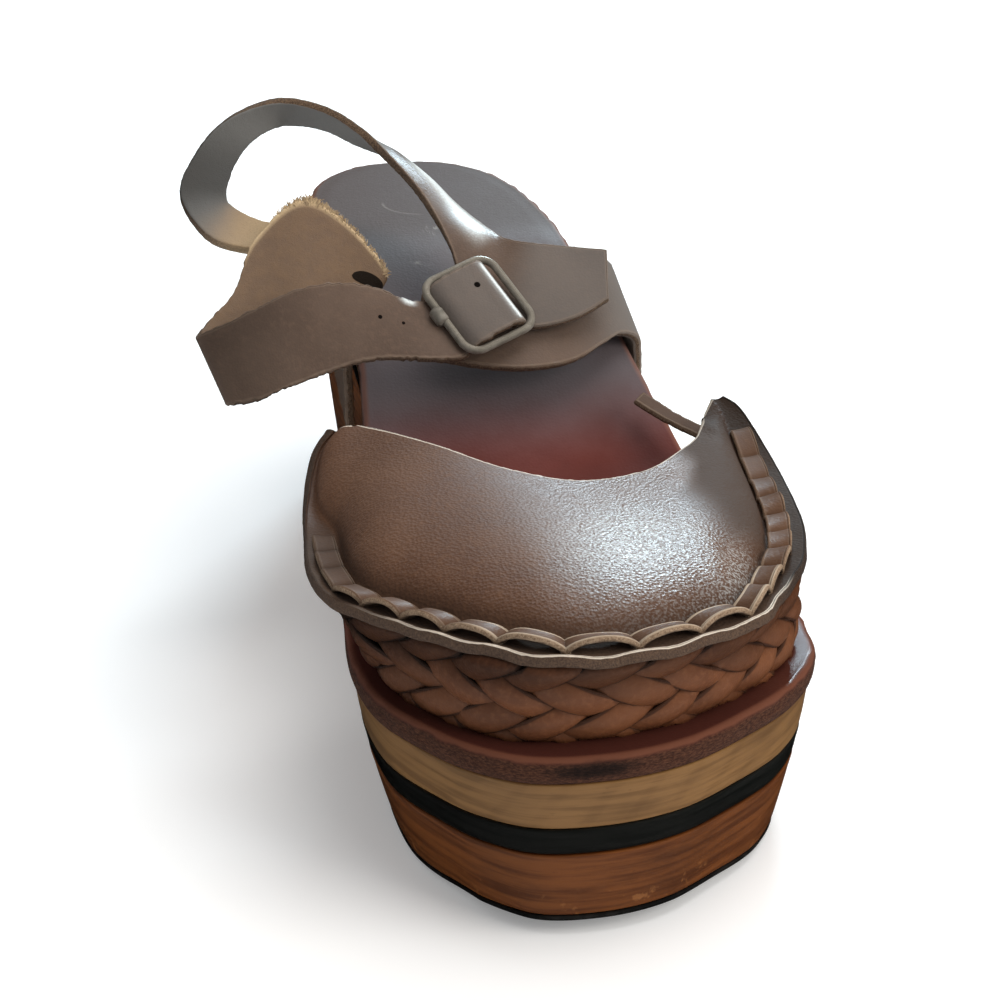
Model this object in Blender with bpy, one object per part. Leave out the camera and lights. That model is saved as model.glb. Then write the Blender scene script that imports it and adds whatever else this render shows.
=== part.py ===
# Platform clog sandal for the left foot, with a laminated wooden sole, a braided toe wall, a laced vamp
# and buckled straps. The toe points to -Y, the outer side of the foot is +X and the shoe stands on Z = 0.
# Sizes are in millimetres. A place is given as (side, station, height): side from the axis through the
# middle of heel and ball, station from the toe tip towards the heel, height from the floor.
import math

import bmesh
import bpy
import numpy as np

MM = 0.001
GAP = 0.3

# Driving sizes of the sole
LENGTH = 258.0
CENTRE_SIDE = -7.34
FOREFOOT_HEIGHT = 37.0
HEEL_RISE = 45.0
RISE_START = 80.0
RISE_END = 196.0
TOE_LIFT = 4.0
TOE_LIFT_LENGTH = 70.0
TREAD_SPRING = 3.2
TREAD_SPRING_LENGTH = 45.0
HEEL_SPRING = 1.5
HEEL_SPRING_LENGTH = 14.0
ARCH_START = 106.0
ARCH_CROWN_START = 138.0
ARCH_CROWN_END = 152.0
ARCH_END = 184.0
ARCH_HEIGHT = 17.0
RUBBER = 1.2
FOREFOOT_TREAD_END = 108.0
HEEL_TREAD_START = 183.0
SIDE_TAPER = 7.5
END_TAPER = 2.0
TAPER_POWER = 1.6
WOOD_INSET = 0.8

# Layer depths below the top of the insole
INSOLE_DEPTH = 5.6
PALE_DEPTH = 15.9
STRIPE_DEPTH = 21.8

# Toe wall, vamp and thong
EAR_MEDIAL = 110.0
EAR_LATERAL = 111.0
FLANGE_HEIGHT = 20.0
FLANGE_DIP = 0.4
EAR_BULGE = 1.0
EAR_ZONE = 11.0
EAR_FLAT = 0.06
VAMP_WALL = 2.4
VAMP_CROWN = 4.5
CROWN_SIDE_POWER = 0.45
CROWN_FRONT_POWER = 0.6
VAMP_COLUMNS = 44
FLANGE_ROWS = 3
DOME_ROWS = 6
BRAID_FOOT_FRONT = 7.0
BRAID_FOOT_SIDE = 4.5
BRAID_HEAD = 4.0
BRAID_HEAD_LEAST = -1.5
BRAID_HEAD_MOST = 6.5
BRAID_WALL = 2.0
BRAID_OUTER_RELIEF = 1.5
BRAID_INNER_RELIEF = 0.9
BRAID_PADS = 18
BRAID_ROWS = 3
BRAID_LEAN = 5.0
BRAID_START = 0.03
THONG_FRONT_PITCH = 13.2
THONG_SIDE_PITCH = 9.6
THONG_WIDTH = 5.0
THONG_WALL = 1.4
THONG_LIFT = 1.6
THONG_CLEAR = 0.8
THONG_MARGIN = 0.5
THONG_START = 0.13
THONG_END = 0.96
STRAP_WALL = 2.2

# Buckle, with the prong's ends as shares of the buckle's length from its middle
BUCKLE_LENGTH = 19.2
BUCKLE_WIDTH = 21.4
BUCKLE_WIRE = 1.9
BUCKLE_CORNER = 4.0
BUCKLE_LIFT = 1.6
PRONG_WIRE = 1.6
PRONG_ENDS = (-0.5, 0.25)

# Points on the curves
OUTLINE_SAMPLES = 16
EDGE_SAMPLES = 12
SOLE_STATIONS = 36
CORNER_POINTS = 5
PRONG_POINTS = 9
THONG_TRIALS = 400

# Rounded edge of the insole, from the top down: inset, depth
INSOLE_RIM = (
    (2.2, 0.0),
    (0.7, 0.5),
    (0.0, 1.9),
    (0.2, 4.2),
    (WOOD_INSET, INSOLE_DEPTH),
)

# Levels of the base's wall, as shares of its height from the top down
BASE_LEVELS = (0.0, 0.35, 0.7, 1.0)

# Plan of the insole rim: station, medial side, lateral side
PLAN = (
    (3.0, -22.5, 11.0),
    (11.0, -32.3, 25.0),
    (21.0, -38.6, 37.5),
    (34.0, -44.2, 46.3),
    (52.0, -46.4, 50.4),
    (75.0, -44.6, 50.3),
    (100.0, -39.3, 47.0),
    (125.0, -32.3, 42.2),
    (150.0, -28.8, 36.6),
    (180.0, -29.0, 31.0),
    (208.0, -30.2, 29.4),
    (230.0, -28.6, 26.8),
    (247.0, -21.8, 20.2),
    (255.5, -12.2, 11.4),
)
TOE_TIP = (-5.5, 0.0)
HEEL_TIP = (0.0, LENGTH)

# Edge of the vamp's flange from the medial ear round the toe to the lateral ear:
# percent of the way, inset from the rim, width of the flange
FLANGE_EDGE = (
    (0.0, -4.0, 1.0),
    (2.0, -6.5, 1.0),
    (8.0, -7.7, 2.0),
    (13.0, -7.6, 6.5),
    (19.0, -7.5, 7.5),
    (24.0, -6.0, 7.0),
    (28.0, -1.6, 7.0),
    (33.0, 2.0, 7.0),
    (39.0, 5.0, 7.0),
    (47.0, 3.0, 7.0),
    (58.0, 1.6, 7.0),
    (61.0, 0.4, 7.0),
    (65.0, 3.0, 7.5),
    (70.0, 4.2, 8.0),
    (76.0, 2.2, 8.5),
    (81.0, -0.5, 9.0),
    (87.0, -3.8, 9.0),
    (92.0, -6.4, 8.5),
    (96.0, -7.2, 6.8),
    (98.6, -6.8, 5.0),
    (100.0, -4.6, 3.0),
)

# Throat edge of the vamp from the medial ear to the lateral ear: side, station, height
THROAT = (
    (-35.2, 110.0, 66.4),
    (-31.0, 101.0, 68.5),
    (-21.5, 88.0, 69.5),
    (-9.0, 77.5, 67.5),
    (5.0, 72.5, 65.5),
    (20.0, 77.0, 64.0),
    (33.0, 90.0, 62.5),
    (39.5, 98.5, 62.0),
    (42.8, 105.5, 62.8),
)

# Straps, one row for each section or fold:
# front edge side, station, height, then rear edge side, station, height
MEDIAL_QUARTER = (
    (-31.0, 150.0, 48.0, -31.2, 172.0, 60.0),
    (-31.2, 150.0, 64.0, -31.4, 172.0, 76.0),
    (-32.0, 147.0, 72.0, -20.5, 159.0, 83.5),
    (-37.0, 143.0, 74.5, -30.0, 170.0, 95.0),
    (-43.0, 139.0, 74.0, -37.0, 173.0, 98.5),
    (-49.5, 135.0, 72.0, -49.6, 166.0, 92.6),
    (-55.0, 131.0, 69.5, -58.0, 151.0, 83.5),
    (-60.0, 127.8, 67.0, -65.0, 142.0, 80.5),
    (-61.5, 125.5, 67.0, -66.8, 138.0, 79.8),
    (-58.0, 124.6, 67.5, -62.0, 136.5, 82.0),
    (-45.5, 128.0, 70.0, -44.0, 140.5, 88.0),
    (-28.0, 130.0, 73.4, -28.4, 142.0, 87.3),
    (-13.0, 129.2, 72.4, -17.0, 141.2, 82.6),
    (-8.5, 129.2, 72.2, -14.5, 141.6, 82.4),
)
LATERAL_QUARTER = (
    (38.8, 147.0, 48.0, 36.0, 165.0, 58.0),
    (39.0, 147.0, 63.0, 36.2, 165.0, 74.0),
    (38.0, 146.0, 67.5, 35.5, 163.0, 80.0),
    (34.0, 144.5, 69.5, 32.5, 160.0, 83.5),
    (28.5, 139.5, 69.5, 27.0, 156.0, 84.0),
    (20.0, 133.5, 68.0, 19.0, 153.0, 83.0),
    (8.4, 130.5, 68.0, 8.0, 150.0, 81.5),
    (-3.5, 132.0, 69.0, -3.0, 146.0, 78.0),
    (-12.0, 135.0, 70.3, -11.5, 147.0, 77.5),
)
ANKLE_STRAP = (
    (-42.0, 163.5, 87.0, -39.0, 173.0, 92.5),
    (-50.0, 167.0, 88.5, -47.5, 179.0, 92.0),
    (-60.0, 169.0, 91.5, -54.0, 181.0, 95.5),
    (-66.0, 182.0, 99.0, -54.7, 183.0, 99.0),
    (-60.5, 191.0, 107.5, -51.0, 192.5, 103.5),
    (-49.0, 201.5, 113.5, -43.0, 204.0, 107.0),
    (-38.0, 205.0, 115.0, -35.5, 210.0, 107.5),
    (-27.5, 201.0, 113.0, -27.0, 208.0, 106.5),
    (-20.5, 193.5, 109.5, -20.0, 202.5, 104.0),
    (-15.5, 184.5, 105.0, -12.5, 195.0, 102.0),
    (-10.5, 174.0, 100.0, -5.5, 184.5, 98.5),
    (-7.0, 164.5, 94.5, 0.5, 174.0, 93.5),
    (-5.0, 156.0, 89.5, 6.5, 162.5, 90.5),
    (-2.5, 144.0, 79.5, 10.0, 157.5, 90.2),
    (8.0, 136.5, 76.0, 15.2, 154.0, 90.2),
    (20.0, 136.5, 77.0, 22.6, 153.0, 89.2),
    (29.6, 140.0, 80.0, 31.9, 151.0, 88.3),
)
THONG_TAIL = (
    (47.2, 111.8, 56.4, 44.8, 108.4, 55.9),
    (40.5, 120.0, 58.3, 37.8, 116.0, 57.9),
    (35.5, 129.0, 60.3, 32.2, 125.3, 59.8),
)
BUCKLE_CENTRE = (-2.0, 139.6, 80.6)
BUCKLE_ALONG = (15.5, 6.5, 3.6)
BUCKLE_ACROSS = (-11.2, 13.5, 11.2)


def smoothstep(value):
    value = np.clip(value, 0.0, 1.0)
    return value * value * (3.0 - 2.0 * value)


def smooth_curve(rows, samples, closed=False):
    # Cardinal spline through the rows, with its tangents weighted by chord length.
    knots = np.array(rows, float)
    if closed:
        chain = np.vstack([knots[-1:], knots, knots[:2]])
    else:
        chain = np.vstack([2 * knots[0] - knots[1], knots, 2 * knots[-1] - knots[-2]])
    step = np.diff(chain, axis=0)
    chord = np.linalg.norm(step, axis=1)[:, None]
    slope = step / chord
    tangent = (slope[:-1] * chord[1:] + slope[1:] * chord[:-1]) / (chord[:-1] + chord[1:])
    spans = len(knots) if closed else len(knots) - 1
    points = []
    for span in range(spans):
        start, end = chain[span + 1], chain[span + 2]
        pull_start = tangent[span] * chord[span + 1]
        pull_end = tangent[span + 1] * chord[span + 1]
        for share in np.arange(samples) / samples:
            square, cube = share * share, share ** 3
            points.append(start * (2 * cube - 3 * square + 1) + pull_start * (cube - 2 * square + share)
                          + end * (3 * square - 2 * cube) + pull_end * (cube - square))
    if not closed:
        points.append(knots[-1])
    return np.array(points)


# Rim of the insole as one closed curve, from the toe tip round the lateral side, the heel and the medial side
rim_rows = [TOE_TIP]
rim_rows += [(lateral, station) for station, medial, lateral in PLAN]
rim_rows += [HEEL_TIP]
rim_rows += [(medial, station) for station, medial, lateral in reversed(PLAN)]
rim_points = smooth_curve(rim_rows, OUTLINE_SAMPLES, closed=True)
rim_points = np.vstack([rim_points, rim_points[:1]])
rim_length = np.concatenate([[0.0], np.cumsum(np.linalg.norm(np.diff(rim_points, axis=0), axis=1))])
rim_heel = (len(PLAN) + 1) * OUTLINE_SAMPLES
rim_tangents = np.roll(rim_points[:-1], -1, axis=0) - np.roll(rim_points[:-1], 1, axis=0)
rim_tangents = np.vstack([rim_tangents, rim_tangents[:1]])
rim_normals = np.stack([rim_tangents[:, 1], -rim_tangents[:, 0]], axis=1)
rim_normals /= np.linalg.norm(rim_normals, axis=1)[:, None]


def rim_normal(run):
    run = np.mod(run, rim_length[-1])
    return np.stack([np.interp(run, rim_length, rim_normals[:, axis]) for axis in (0, 1)], axis=-1)


def rim_point(run, inset):
    # A point of the rim at a run along its length, moved in by the inset.
    wrapped = np.mod(run, rim_length[-1])
    base = np.stack([np.interp(wrapped, rim_length, rim_points[:, axis]) for axis in (0, 1)], axis=-1)
    return base - rim_normal(run) * np.asarray(inset)[..., None]


def lateral_run(station):
    return np.interp(station, rim_points[:rim_heel + 1, 1], rim_length[:rim_heel + 1])


def medial_run(station):
    return np.interp(station, rim_points[rim_heel:, 1][::-1], rim_length[rim_heel:][::-1])


def insole_top(station):
    lift = TOE_LIFT * smoothstep(1.0 - station / TOE_LIFT_LENGTH)
    return FOREFOOT_HEIGHT + lift + HEEL_RISE * smoothstep((station - RISE_START) / (RISE_END - RISE_START))


def tread_height(station):
    toe = TREAD_SPRING * smoothstep(1.0 - station / TREAD_SPRING_LENGTH)
    heel = HEEL_SPRING * smoothstep((station - LENGTH) / HEEL_SPRING_LENGTH + 1.0)
    front = smoothstep((station - ARCH_START) / (ARCH_CROWN_START - ARCH_START))
    back = smoothstep((ARCH_END - station) / (ARCH_END - ARCH_CROWN_END))
    return toe + heel + ARCH_HEIGHT * front * back


def wall_inset(run, depth):
    # The wooden wall leans in towards the floor, more on the sides than at the toe.
    ends = rim_normal(run)[..., 1] ** 2
    taper = SIDE_TAPER + (END_TAPER - SIDE_TAPER) * ends
    station = rim_point(run, np.zeros_like(run))[..., 1]
    share = np.clip(depth / (insole_top(station) - tread_height(station)), 0.0, 1.0)
    return WOOD_INSET + taper * share ** TAPER_POWER


def to_metres(points):
    points = np.asarray(points, float)
    return (points - np.array([CENTRE_SIDE, LENGTH / 2, 0.0])) * MM


def material(name, colour, roughness, metallic=0.0):
    shader = bpy.data.materials.new(name)
    shader.use_nodes = True
    principled = shader.node_tree.nodes["Principled BSDF"]
    principled.inputs["Base Color"].default_value = (*colour, 1.0)
    principled.inputs["Roughness"].default_value = roughness
    principled.inputs["Metallic"].default_value = metallic
    return shader


def add_object(name, mesh, finish):
    piece = bpy.data.objects.new(name, mesh)
    piece.data.materials.append(finish)
    bpy.context.scene.collection.objects.link(piece)
    return piece


def mesh_object(name, points, faces, finish, smooth_angle=40.0):
    mesh = bpy.data.meshes.new(name)
    mesh.from_pydata(to_metres(points).tolist(), [], faces)
    form = bmesh.new()
    form.from_mesh(mesh)
    bmesh.ops.recalc_face_normals(form, faces=form.faces[:])
    bmesh.ops.triangulate(form, faces=form.faces[:])
    form.to_mesh(mesh)
    form.free()
    mesh.shade_smooth()
    mesh.set_sharp_from_angle(angle=math.radians(smooth_angle))
    return add_object(name, mesh, finish)


def sole_runs(first, last, round_first, round_last):
    # Runs of the lateral and medial rim points at stations between two ends, closer together at a round end.
    share = np.arange(1, SOLE_STATIONS) / SOLE_STATIONS
    if round_first and round_last:
        share = (1.0 - np.cos(math.pi * share)) / 2.0
    elif round_first:
        share = np.append(1.0 - np.cos(math.pi / 2.0 * share), 1.0)
    else:
        share = np.insert(np.sin(math.pi / 2.0 * share), 0, 0.0)
    stations = first + (last - first) * share
    return lateral_run(stations), medial_run(stations)


def layer(name, first, last, rings, finish):
    # A layer of the sole as stacked rings, each with an inset and a height function, closed by quads.
    round_first = first <= 0.0
    round_last = last >= LENGTH
    lateral, medial = sole_runs(first, last, round_first, round_last)
    runs = list(lateral)
    if round_last:
        runs.append(rim_length[rim_heel])
    runs += list(medial[::-1])
    if round_first:
        runs.append(rim_length[-1])
    runs = np.array(runs)
    size = len(runs)
    count = len(lateral)
    points = []
    for inset, height in rings:
        plan = rim_point(runs, inset(runs))
        points += [(side, station, height(station)) for side, station in plan]
    faces = []
    for level in range(len(rings) - 1):
        base = level * size
        for spot in range(size):
            after = (spot + 1) % size
            faces.append((base + spot, base + after, base + size + after, base + size + spot))
    bottom = (len(rings) - 1) * size
    far = size - 1 if round_first else size
    for base in (0, bottom):
        for spot in range(count - 1):
            other = far - 1 - spot
            faces.append((base + spot, base + spot + 1, base + other - 1, base + other))
        if round_last:
            faces.append((base + count - 1, base + count, base + count + 1))
        if round_first:
            faces.append((base + far, base, base + far - 1))
    return mesh_object(name, points, faces, finish)


def below_top(depth):
    return lambda station: insole_top(station) - depth


def wall_at(depth):
    return lambda run: wall_inset(run, depth)


def sole_layers(finishes):
    rings = []
    for inset, depth in INSOLE_RIM:
        rings.append((lambda run, inset=inset: np.full_like(run, inset), below_top(depth)))
    layer("insole", 0.0, LENGTH, rings, finishes["insole_leather"])

    for name, top, bottom, finish in (("upper_lamination", INSOLE_DEPTH, PALE_DEPTH, "pale_wood"),
                                      ("stripe_lamination", PALE_DEPTH, STRIPE_DEPTH, "black_stripe")):
        rings = [(wall_at(top + GAP), below_top(top + GAP)), (wall_at(bottom), below_top(bottom))]
        layer(name, 0.0, LENGTH, rings, finishes[finish])

    block_top = STRIPE_DEPTH + GAP
    rings = []
    for share in BASE_LEVELS:
        def height(station, share=share):
            floor = tread_height(station) + RUBBER + GAP
            return (insole_top(station) - block_top) * (1.0 - share) + floor * share

        def inset(run, height=height):
            station = rim_point(run, np.zeros_like(run))[..., 1]
            return wall_inset(run, insole_top(station) - height(station))
        rings.append((inset, height))
    layer("platform_base", 0.0, LENGTH, rings, finishes["brown_wood"])

    def tread_inset(run):
        return wall_inset(run, LENGTH)

    rings = [(tread_inset, lambda station: tread_height(station) + RUBBER), (tread_inset, tread_height)]
    layer("outsole_forefoot", 0.0, FOREFOOT_TREAD_END, rings, finishes["black_rubber"])
    layer("outsole_heel", HEEL_TREAD_START, LENGTH, rings, finishes["black_rubber"])


def shell(name, outer, inner, finish, smooth_angle=40.0):
    # One closed wall between an outer and an inner sheet of points with the same rows and columns.
    rows, columns = outer.shape[:2]
    size = rows * columns
    points = np.concatenate([outer.reshape(-1, 3), inner.reshape(-1, 3)])

    def spot(row, column, side):
        return side * size + row * columns + column

    faces = []
    for row in range(rows - 1):
        for column in range(columns - 1):
            quad = ((row, column), (row, column + 1), (row + 1, column + 1), (row + 1, column))
            faces.append([spot(r, c, 0) for r, c in quad])
            faces.append([spot(r, c, 1) for r, c in reversed(quad)])
    border = [(0, column) for column in range(columns)]
    border += [(row, columns - 1) for row in range(1, rows)]
    border += [(rows - 1, column) for column in range(columns - 2, -1, -1)]
    border += [(row, 0) for row in range(rows - 2, 0, -1)]
    for near, far in zip(border, border[1:] + border[:1]):
        faces.append([spot(*near, 1), spot(*far, 1), spot(*far, 0), spot(*near, 0)])
    return mesh_object(name, points, faces, finish, smooth_angle)


def sheet_normals(sheet):
    along = np.gradient(sheet, axis=0)
    across = np.gradient(sheet, axis=1)
    normal = np.cross(along, across)
    return normal / np.linalg.norm(normal, axis=2)[..., None]


def ribbon(name, rows, wall, finish, samples, columns):
    # A strap of even thickness through rows of front and rear edge points.
    path = smooth_curve(rows, samples)
    share = np.linspace(0.0, 1.0, columns)[None, :, None]
    sheet = path[:, None, :3] * (1.0 - share) + path[:, None, 3:] * share
    offset = sheet_normals(sheet) * wall / 2.0
    return shell(name, sheet + offset, sheet - offset, finish)


# Perimeter of the vamp, from the medial ear round the toe to the lateral ear, as a share from 0 to 1
ear_run_medial = medial_run(EAR_MEDIAL) - rim_length[-1]
ear_run_lateral = lateral_run(EAR_LATERAL)


def perimeter_run(share):
    return ear_run_medial + (ear_run_lateral - ear_run_medial) * np.asarray(share, float)


def frontness(run):
    return np.clip(-rim_normal(run)[..., 1], 0.0, 1.0) ** 2


def flange_size(run):
    # Inset of the flange's edge from the rim, and the flange's width.
    path = smooth_curve(FLANGE_EDGE, EDGE_SAMPLES)
    percent = 100.0 * (run - ear_run_medial) / (ear_run_lateral - ear_run_medial)
    return np.interp(percent, path[:, 0], path[:, 1]), np.interp(percent, path[:, 0], path[:, 2])


def flange_point(share, way, inward=0.0):
    # Top of the flange at a way from its edge to its crease and a distance inward, with a dip for the thong.
    run = perimeter_run(share)
    inset, width = flange_size(run)
    plan = rim_point(run, inset + width * way + inward)
    dip = FLANGE_DIP * np.sin(math.pi * np.clip(way + inward / width, 0.0, 1.0))
    height = insole_top(plan[..., 1]) + FLANGE_HEIGHT - dip
    return np.concatenate([plan, height[..., None]], axis=-1)


def vamp_sheet():
    # Rows from the flange edge to the throat, columns from ear to ear.
    share = np.linspace(0.0, 1.0, VAMP_COLUMNS + 1)
    throat_path = smooth_curve(THROAT, EDGE_SAMPLES)
    throat_run = np.linspace(0.0, 1.0, len(throat_path))
    throat = np.stack([np.interp(share, throat_run, throat_path[:, axis]) for axis in range(3)], axis=-1)
    rows = [flange_point(share, way) for way in np.linspace(0.0, 1.0, FLANGE_ROWS + 1)]
    start = rows[-1]
    crown = VAMP_CROWN * np.sin(math.pi * share) ** CROWN_SIDE_POWER * smoothstep((1.0 - share) / EAR_FLAT)
    for step in range(1, DOME_ROWS + 1):
        blend = step / DOME_ROWS
        row = start + (throat - start) * blend
        row[:, 2] += crown * math.sin(math.pi * blend ** CROWN_FRONT_POWER)
        rows.append(row)
    sheet = np.array(rows)
    zone = EAR_ZONE / (ear_run_lateral - ear_run_medial)
    end = np.clip(1.0 - share / zone, 0.0, 1.0) ** 2
    across = np.linspace(0.0, 1.0, len(rows))
    sheet[:, :, 1] += EAR_BULGE * np.sin(math.pi * across)[:, None] * end[None, :]
    return sheet


def vamp(finish):
    sheet = vamp_sheet()
    normal = sheet_normals(sheet)
    if normal[FLANGE_ROWS, VAMP_COLUMNS // 2, 2] < 0.0:
        normal = -normal
    shell("vamp", sheet, sheet - normal * VAMP_WALL, finish)


def toe_braid(finish):
    # One wall of leaning pads in rows. The columns zigzag with the lean of each row.
    per_pad = 3
    columns = BRAID_PADS * per_pad
    per_row = 3
    lines = BRAID_ROWS * per_row
    span = ear_run_lateral - ear_run_medial
    outer = []
    inner = []
    for line in range(lines + 1):
        share = np.linspace(BRAID_START, 1.0 - BRAID_START, columns + 1)
        zigzag = abs((line / per_row) % 2.0 - 1.0) * BRAID_LEAN / span
        run = perimeter_run(share + zigzag - BRAID_LEAN / 2.0 / span)
        level = line / lines
        foot = BRAID_FOOT_SIDE + (BRAID_FOOT_FRONT - BRAID_FOOT_SIDE) * frontness(run)
        head = np.clip(flange_size(run)[0] + BRAID_HEAD, BRAID_HEAD_LEAST, BRAID_HEAD_MOST)
        inset = foot + (head - foot) * level
        pad = np.where(np.arange(columns + 1) % per_pad == 0, 0.0, 1.0) * min(line % per_row, 1)
        foot_station = rim_point(run, foot)[..., 1]
        head_station = rim_point(run, head)[..., 1]
        low = insole_top(foot_station) + GAP
        high = insole_top(head_station) + FLANGE_HEIGHT - FLANGE_DIP - VAMP_WALL - 2 * GAP
        height = low + (high - low) * level
        for sheet, side, relief in ((outer, -1.0, BRAID_OUTER_RELIEF), (inner, 1.0, BRAID_INNER_RELIEF)):
            plan = rim_point(run, inset + side * (BRAID_WALL / 2.0 + relief * pad))
            sheet.append(np.concatenate([plan, height[:, None]], axis=1))
    shell("toe_braid", np.array(outer), np.array(inner), finish)


def vamp_thong(finish):
    # A flat thong lying along the flange, rising in an arch between each pair of slits.
    per_arch = 4
    trial = np.linspace(THONG_START, THONG_END, THONG_TRIALS)
    steps = np.linalg.norm(np.diff(flange_point(trial, 0.5), axis=0), axis=1)
    pitch = THONG_SIDE_PITCH + (THONG_FRONT_PITCH - THONG_SIDE_PITCH) * frontness(perimeter_run(trial[1:]))
    count = np.concatenate([[0.0], np.cumsum(steps / pitch)])
    arches = round(count[-1])
    share = np.interp(np.linspace(0.0, count[-1], arches * per_arch + 1), count, trial)
    rise = np.abs(np.sin(np.arange(len(share)) / per_arch * math.pi)) * THONG_LIFT
    rows = []
    for inward in (-THONG_MARGIN - THONG_WIDTH, -THONG_MARGIN - THONG_WIDTH / 2.0, -THONG_MARGIN):
        row = flange_point(share, 1.0, inward)
        row[:, 2] += rise + THONG_CLEAR
        rows.append(row)
    lower = np.array(rows)
    upper = lower.copy()
    upper[:, :, 2] += THONG_WALL
    shell("vamp_thong", upper, lower, finish)


def buckle(finish):
    # A wire frame with round corners, and a prong under it from its bar to the far side.
    along = np.array(BUCKLE_ALONG) / np.linalg.norm(BUCKLE_ALONG)
    across = np.array(BUCKLE_ACROSS)
    across = across - along * across.dot(along)
    across /= np.linalg.norm(across)
    normal = np.cross(along, across)
    centre = np.array(BUCKLE_CENTRE) + normal * BUCKLE_LIFT
    half_length = BUCKLE_LENGTH / 2.0 - BUCKLE_CORNER
    half_width = BUCKLE_WIDTH / 2.0 - BUCKLE_CORNER
    frame_path = []
    for corner, (sign_along, sign_across) in enumerate(((1, 1), (-1, 1), (-1, -1), (1, -1))):
        for turn in np.linspace(0.0, math.pi / 2.0, CORNER_POINTS) + corner * math.pi / 2.0:
            spot = centre + along * (sign_along * half_length + BUCKLE_CORNER * math.cos(turn))
            frame_path.append(spot + across * (sign_across * half_width + BUCKLE_CORNER * math.sin(turn)))
    wire("buckle_frame", frame_path, BUCKLE_WIRE, True, finish)
    under = (BUCKLE_WIRE + PRONG_WIRE) / 2.0 + GAP
    prong_path = []
    for share in np.linspace(*PRONG_ENDS, PRONG_POINTS):
        prong_path.append(centre + along * share * BUCKLE_LENGTH - normal * under)
    wire("buckle_prong", prong_path, PRONG_WIRE, False, finish)


def wire(name, path, width, closed, finish):
    curve = bpy.data.curves.new(name, "CURVE")
    curve.dimensions = "3D"
    curve.bevel_depth = width / 2.0 * MM
    curve.bevel_resolution = 2
    curve.use_fill_caps = True
    spline = curve.splines.new("POLY")
    spline.points.add(len(path) - 1)
    for point, place in zip(spline.points, to_metres(path)):
        point.co = (*place, 1.0)
    spline.use_cyclic_u = closed
    spline.use_smooth = True
    return add_object(name, curve, finish)


def main():
    for piece in list(bpy.data.objects):
        bpy.data.objects.remove(piece, do_unlink=True)
    finishes = {
        "black_rubber": material("black_rubber", (0.012, 0.012, 0.012), 0.7),
        "brown_wood": material("brown_wood", (0.20, 0.055, 0.014), 0.45),
        "black_stripe": material("black_stripe", (0.010, 0.012, 0.010), 0.5),
        "pale_wood": material("pale_wood", (0.36, 0.20, 0.065), 0.5),
        "insole_leather": material("insole_leather", (0.12, 0.028, 0.020), 0.4),
        "braid_leather": material("braid_leather", (0.15, 0.055, 0.022), 0.5),
        "vamp_leather": material("vamp_leather", (0.14, 0.075, 0.042), 0.4),
        "strap_leather": material("strap_leather", (0.16, 0.095, 0.06), 0.5),
        "buckle_bronze": material("buckle_bronze", (0.08, 0.07, 0.055), 0.4, 1.0),
    }
    sole_layers(finishes)
    vamp(finishes["vamp_leather"])
    toe_braid(finishes["braid_leather"])
    vamp_thong(finishes["braid_leather"])
    strap_leather = finishes["strap_leather"]
    ribbon("thong_tail", THONG_TAIL, THONG_WALL, finishes["braid_leather"], samples=4, columns=2)
    ribbon("medial_quarter", MEDIAL_QUARTER, STRAP_WALL, strap_leather, samples=4, columns=4)
    ribbon("lateral_quarter", LATERAL_QUARTER, STRAP_WALL, strap_leather, samples=3, columns=4)
    ribbon("ankle_strap", ANKLE_STRAP, STRAP_WALL, strap_leather, samples=4, columns=3)
    buckle(finishes["buckle_bronze"])


main()
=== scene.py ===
import math
import random

import bmesh
import bpy
import numpy as np
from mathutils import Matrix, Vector, noise


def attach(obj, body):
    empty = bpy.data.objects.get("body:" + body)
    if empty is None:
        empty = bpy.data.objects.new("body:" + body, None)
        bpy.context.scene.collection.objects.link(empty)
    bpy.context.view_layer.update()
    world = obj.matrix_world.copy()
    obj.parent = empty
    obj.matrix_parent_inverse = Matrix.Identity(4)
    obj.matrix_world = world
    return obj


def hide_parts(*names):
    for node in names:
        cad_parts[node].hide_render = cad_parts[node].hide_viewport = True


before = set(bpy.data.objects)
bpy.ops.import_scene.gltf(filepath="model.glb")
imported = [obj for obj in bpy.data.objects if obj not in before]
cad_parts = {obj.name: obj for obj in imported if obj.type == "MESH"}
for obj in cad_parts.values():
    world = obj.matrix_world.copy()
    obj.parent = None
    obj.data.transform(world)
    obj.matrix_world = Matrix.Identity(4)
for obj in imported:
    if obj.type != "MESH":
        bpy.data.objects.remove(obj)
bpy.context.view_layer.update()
mm = 0.001  # metres
cm = 10.0  # millimetres, for the UV maps
weld = 2e-6  # metres
noise.seed_set(5)  # the ragged edges come out the same each time
print("frame loaded:", len(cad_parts), "nodes")


# Shader maths

class Value:  # a shader value that takes part in Python sums
    def __init__(self, finish, socket):
        self.finish = finish
        self.socket = socket

    def maths(self, operation, first, second=0.0):
        made = self.finish.node("ShaderNodeMath", {"operation": operation}, {0: first, 1: second})
        return Value(self.finish, made.outputs[0])

    def __add__(self, other):
        return self.maths("ADD", self, other)

    def __radd__(self, other):
        return self.maths("ADD", other, self)

    def __sub__(self, other):
        return self.maths("SUBTRACT", self, other)

    def __rsub__(self, other):
        return self.maths("SUBTRACT", other, self)

    def __mul__(self, other):
        return self.maths("MULTIPLY", self, other)

    def __rmul__(self, other):
        return self.maths("MULTIPLY", other, self)

    def __truediv__(self, other):
        return self.maths("DIVIDE", self, other)

    def __pow__(self, power):
        return self.maths("POWER", self, power)

    def __abs__(self):
        return self.maths("ABSOLUTE", self)

    def sine(self):
        return self.maths("SINE", self)

    def rise(self, low, high):  # 0 below low, 1 above high, soft between
        inputs = {"Value": self, "From Min": low, "From Max": high}
        made = self.finish.node("ShaderNodeMapRange", {"interpolation_type": "SMOOTHSTEP"}, inputs)
        return Value(self.finish, made.outputs[0])


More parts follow.
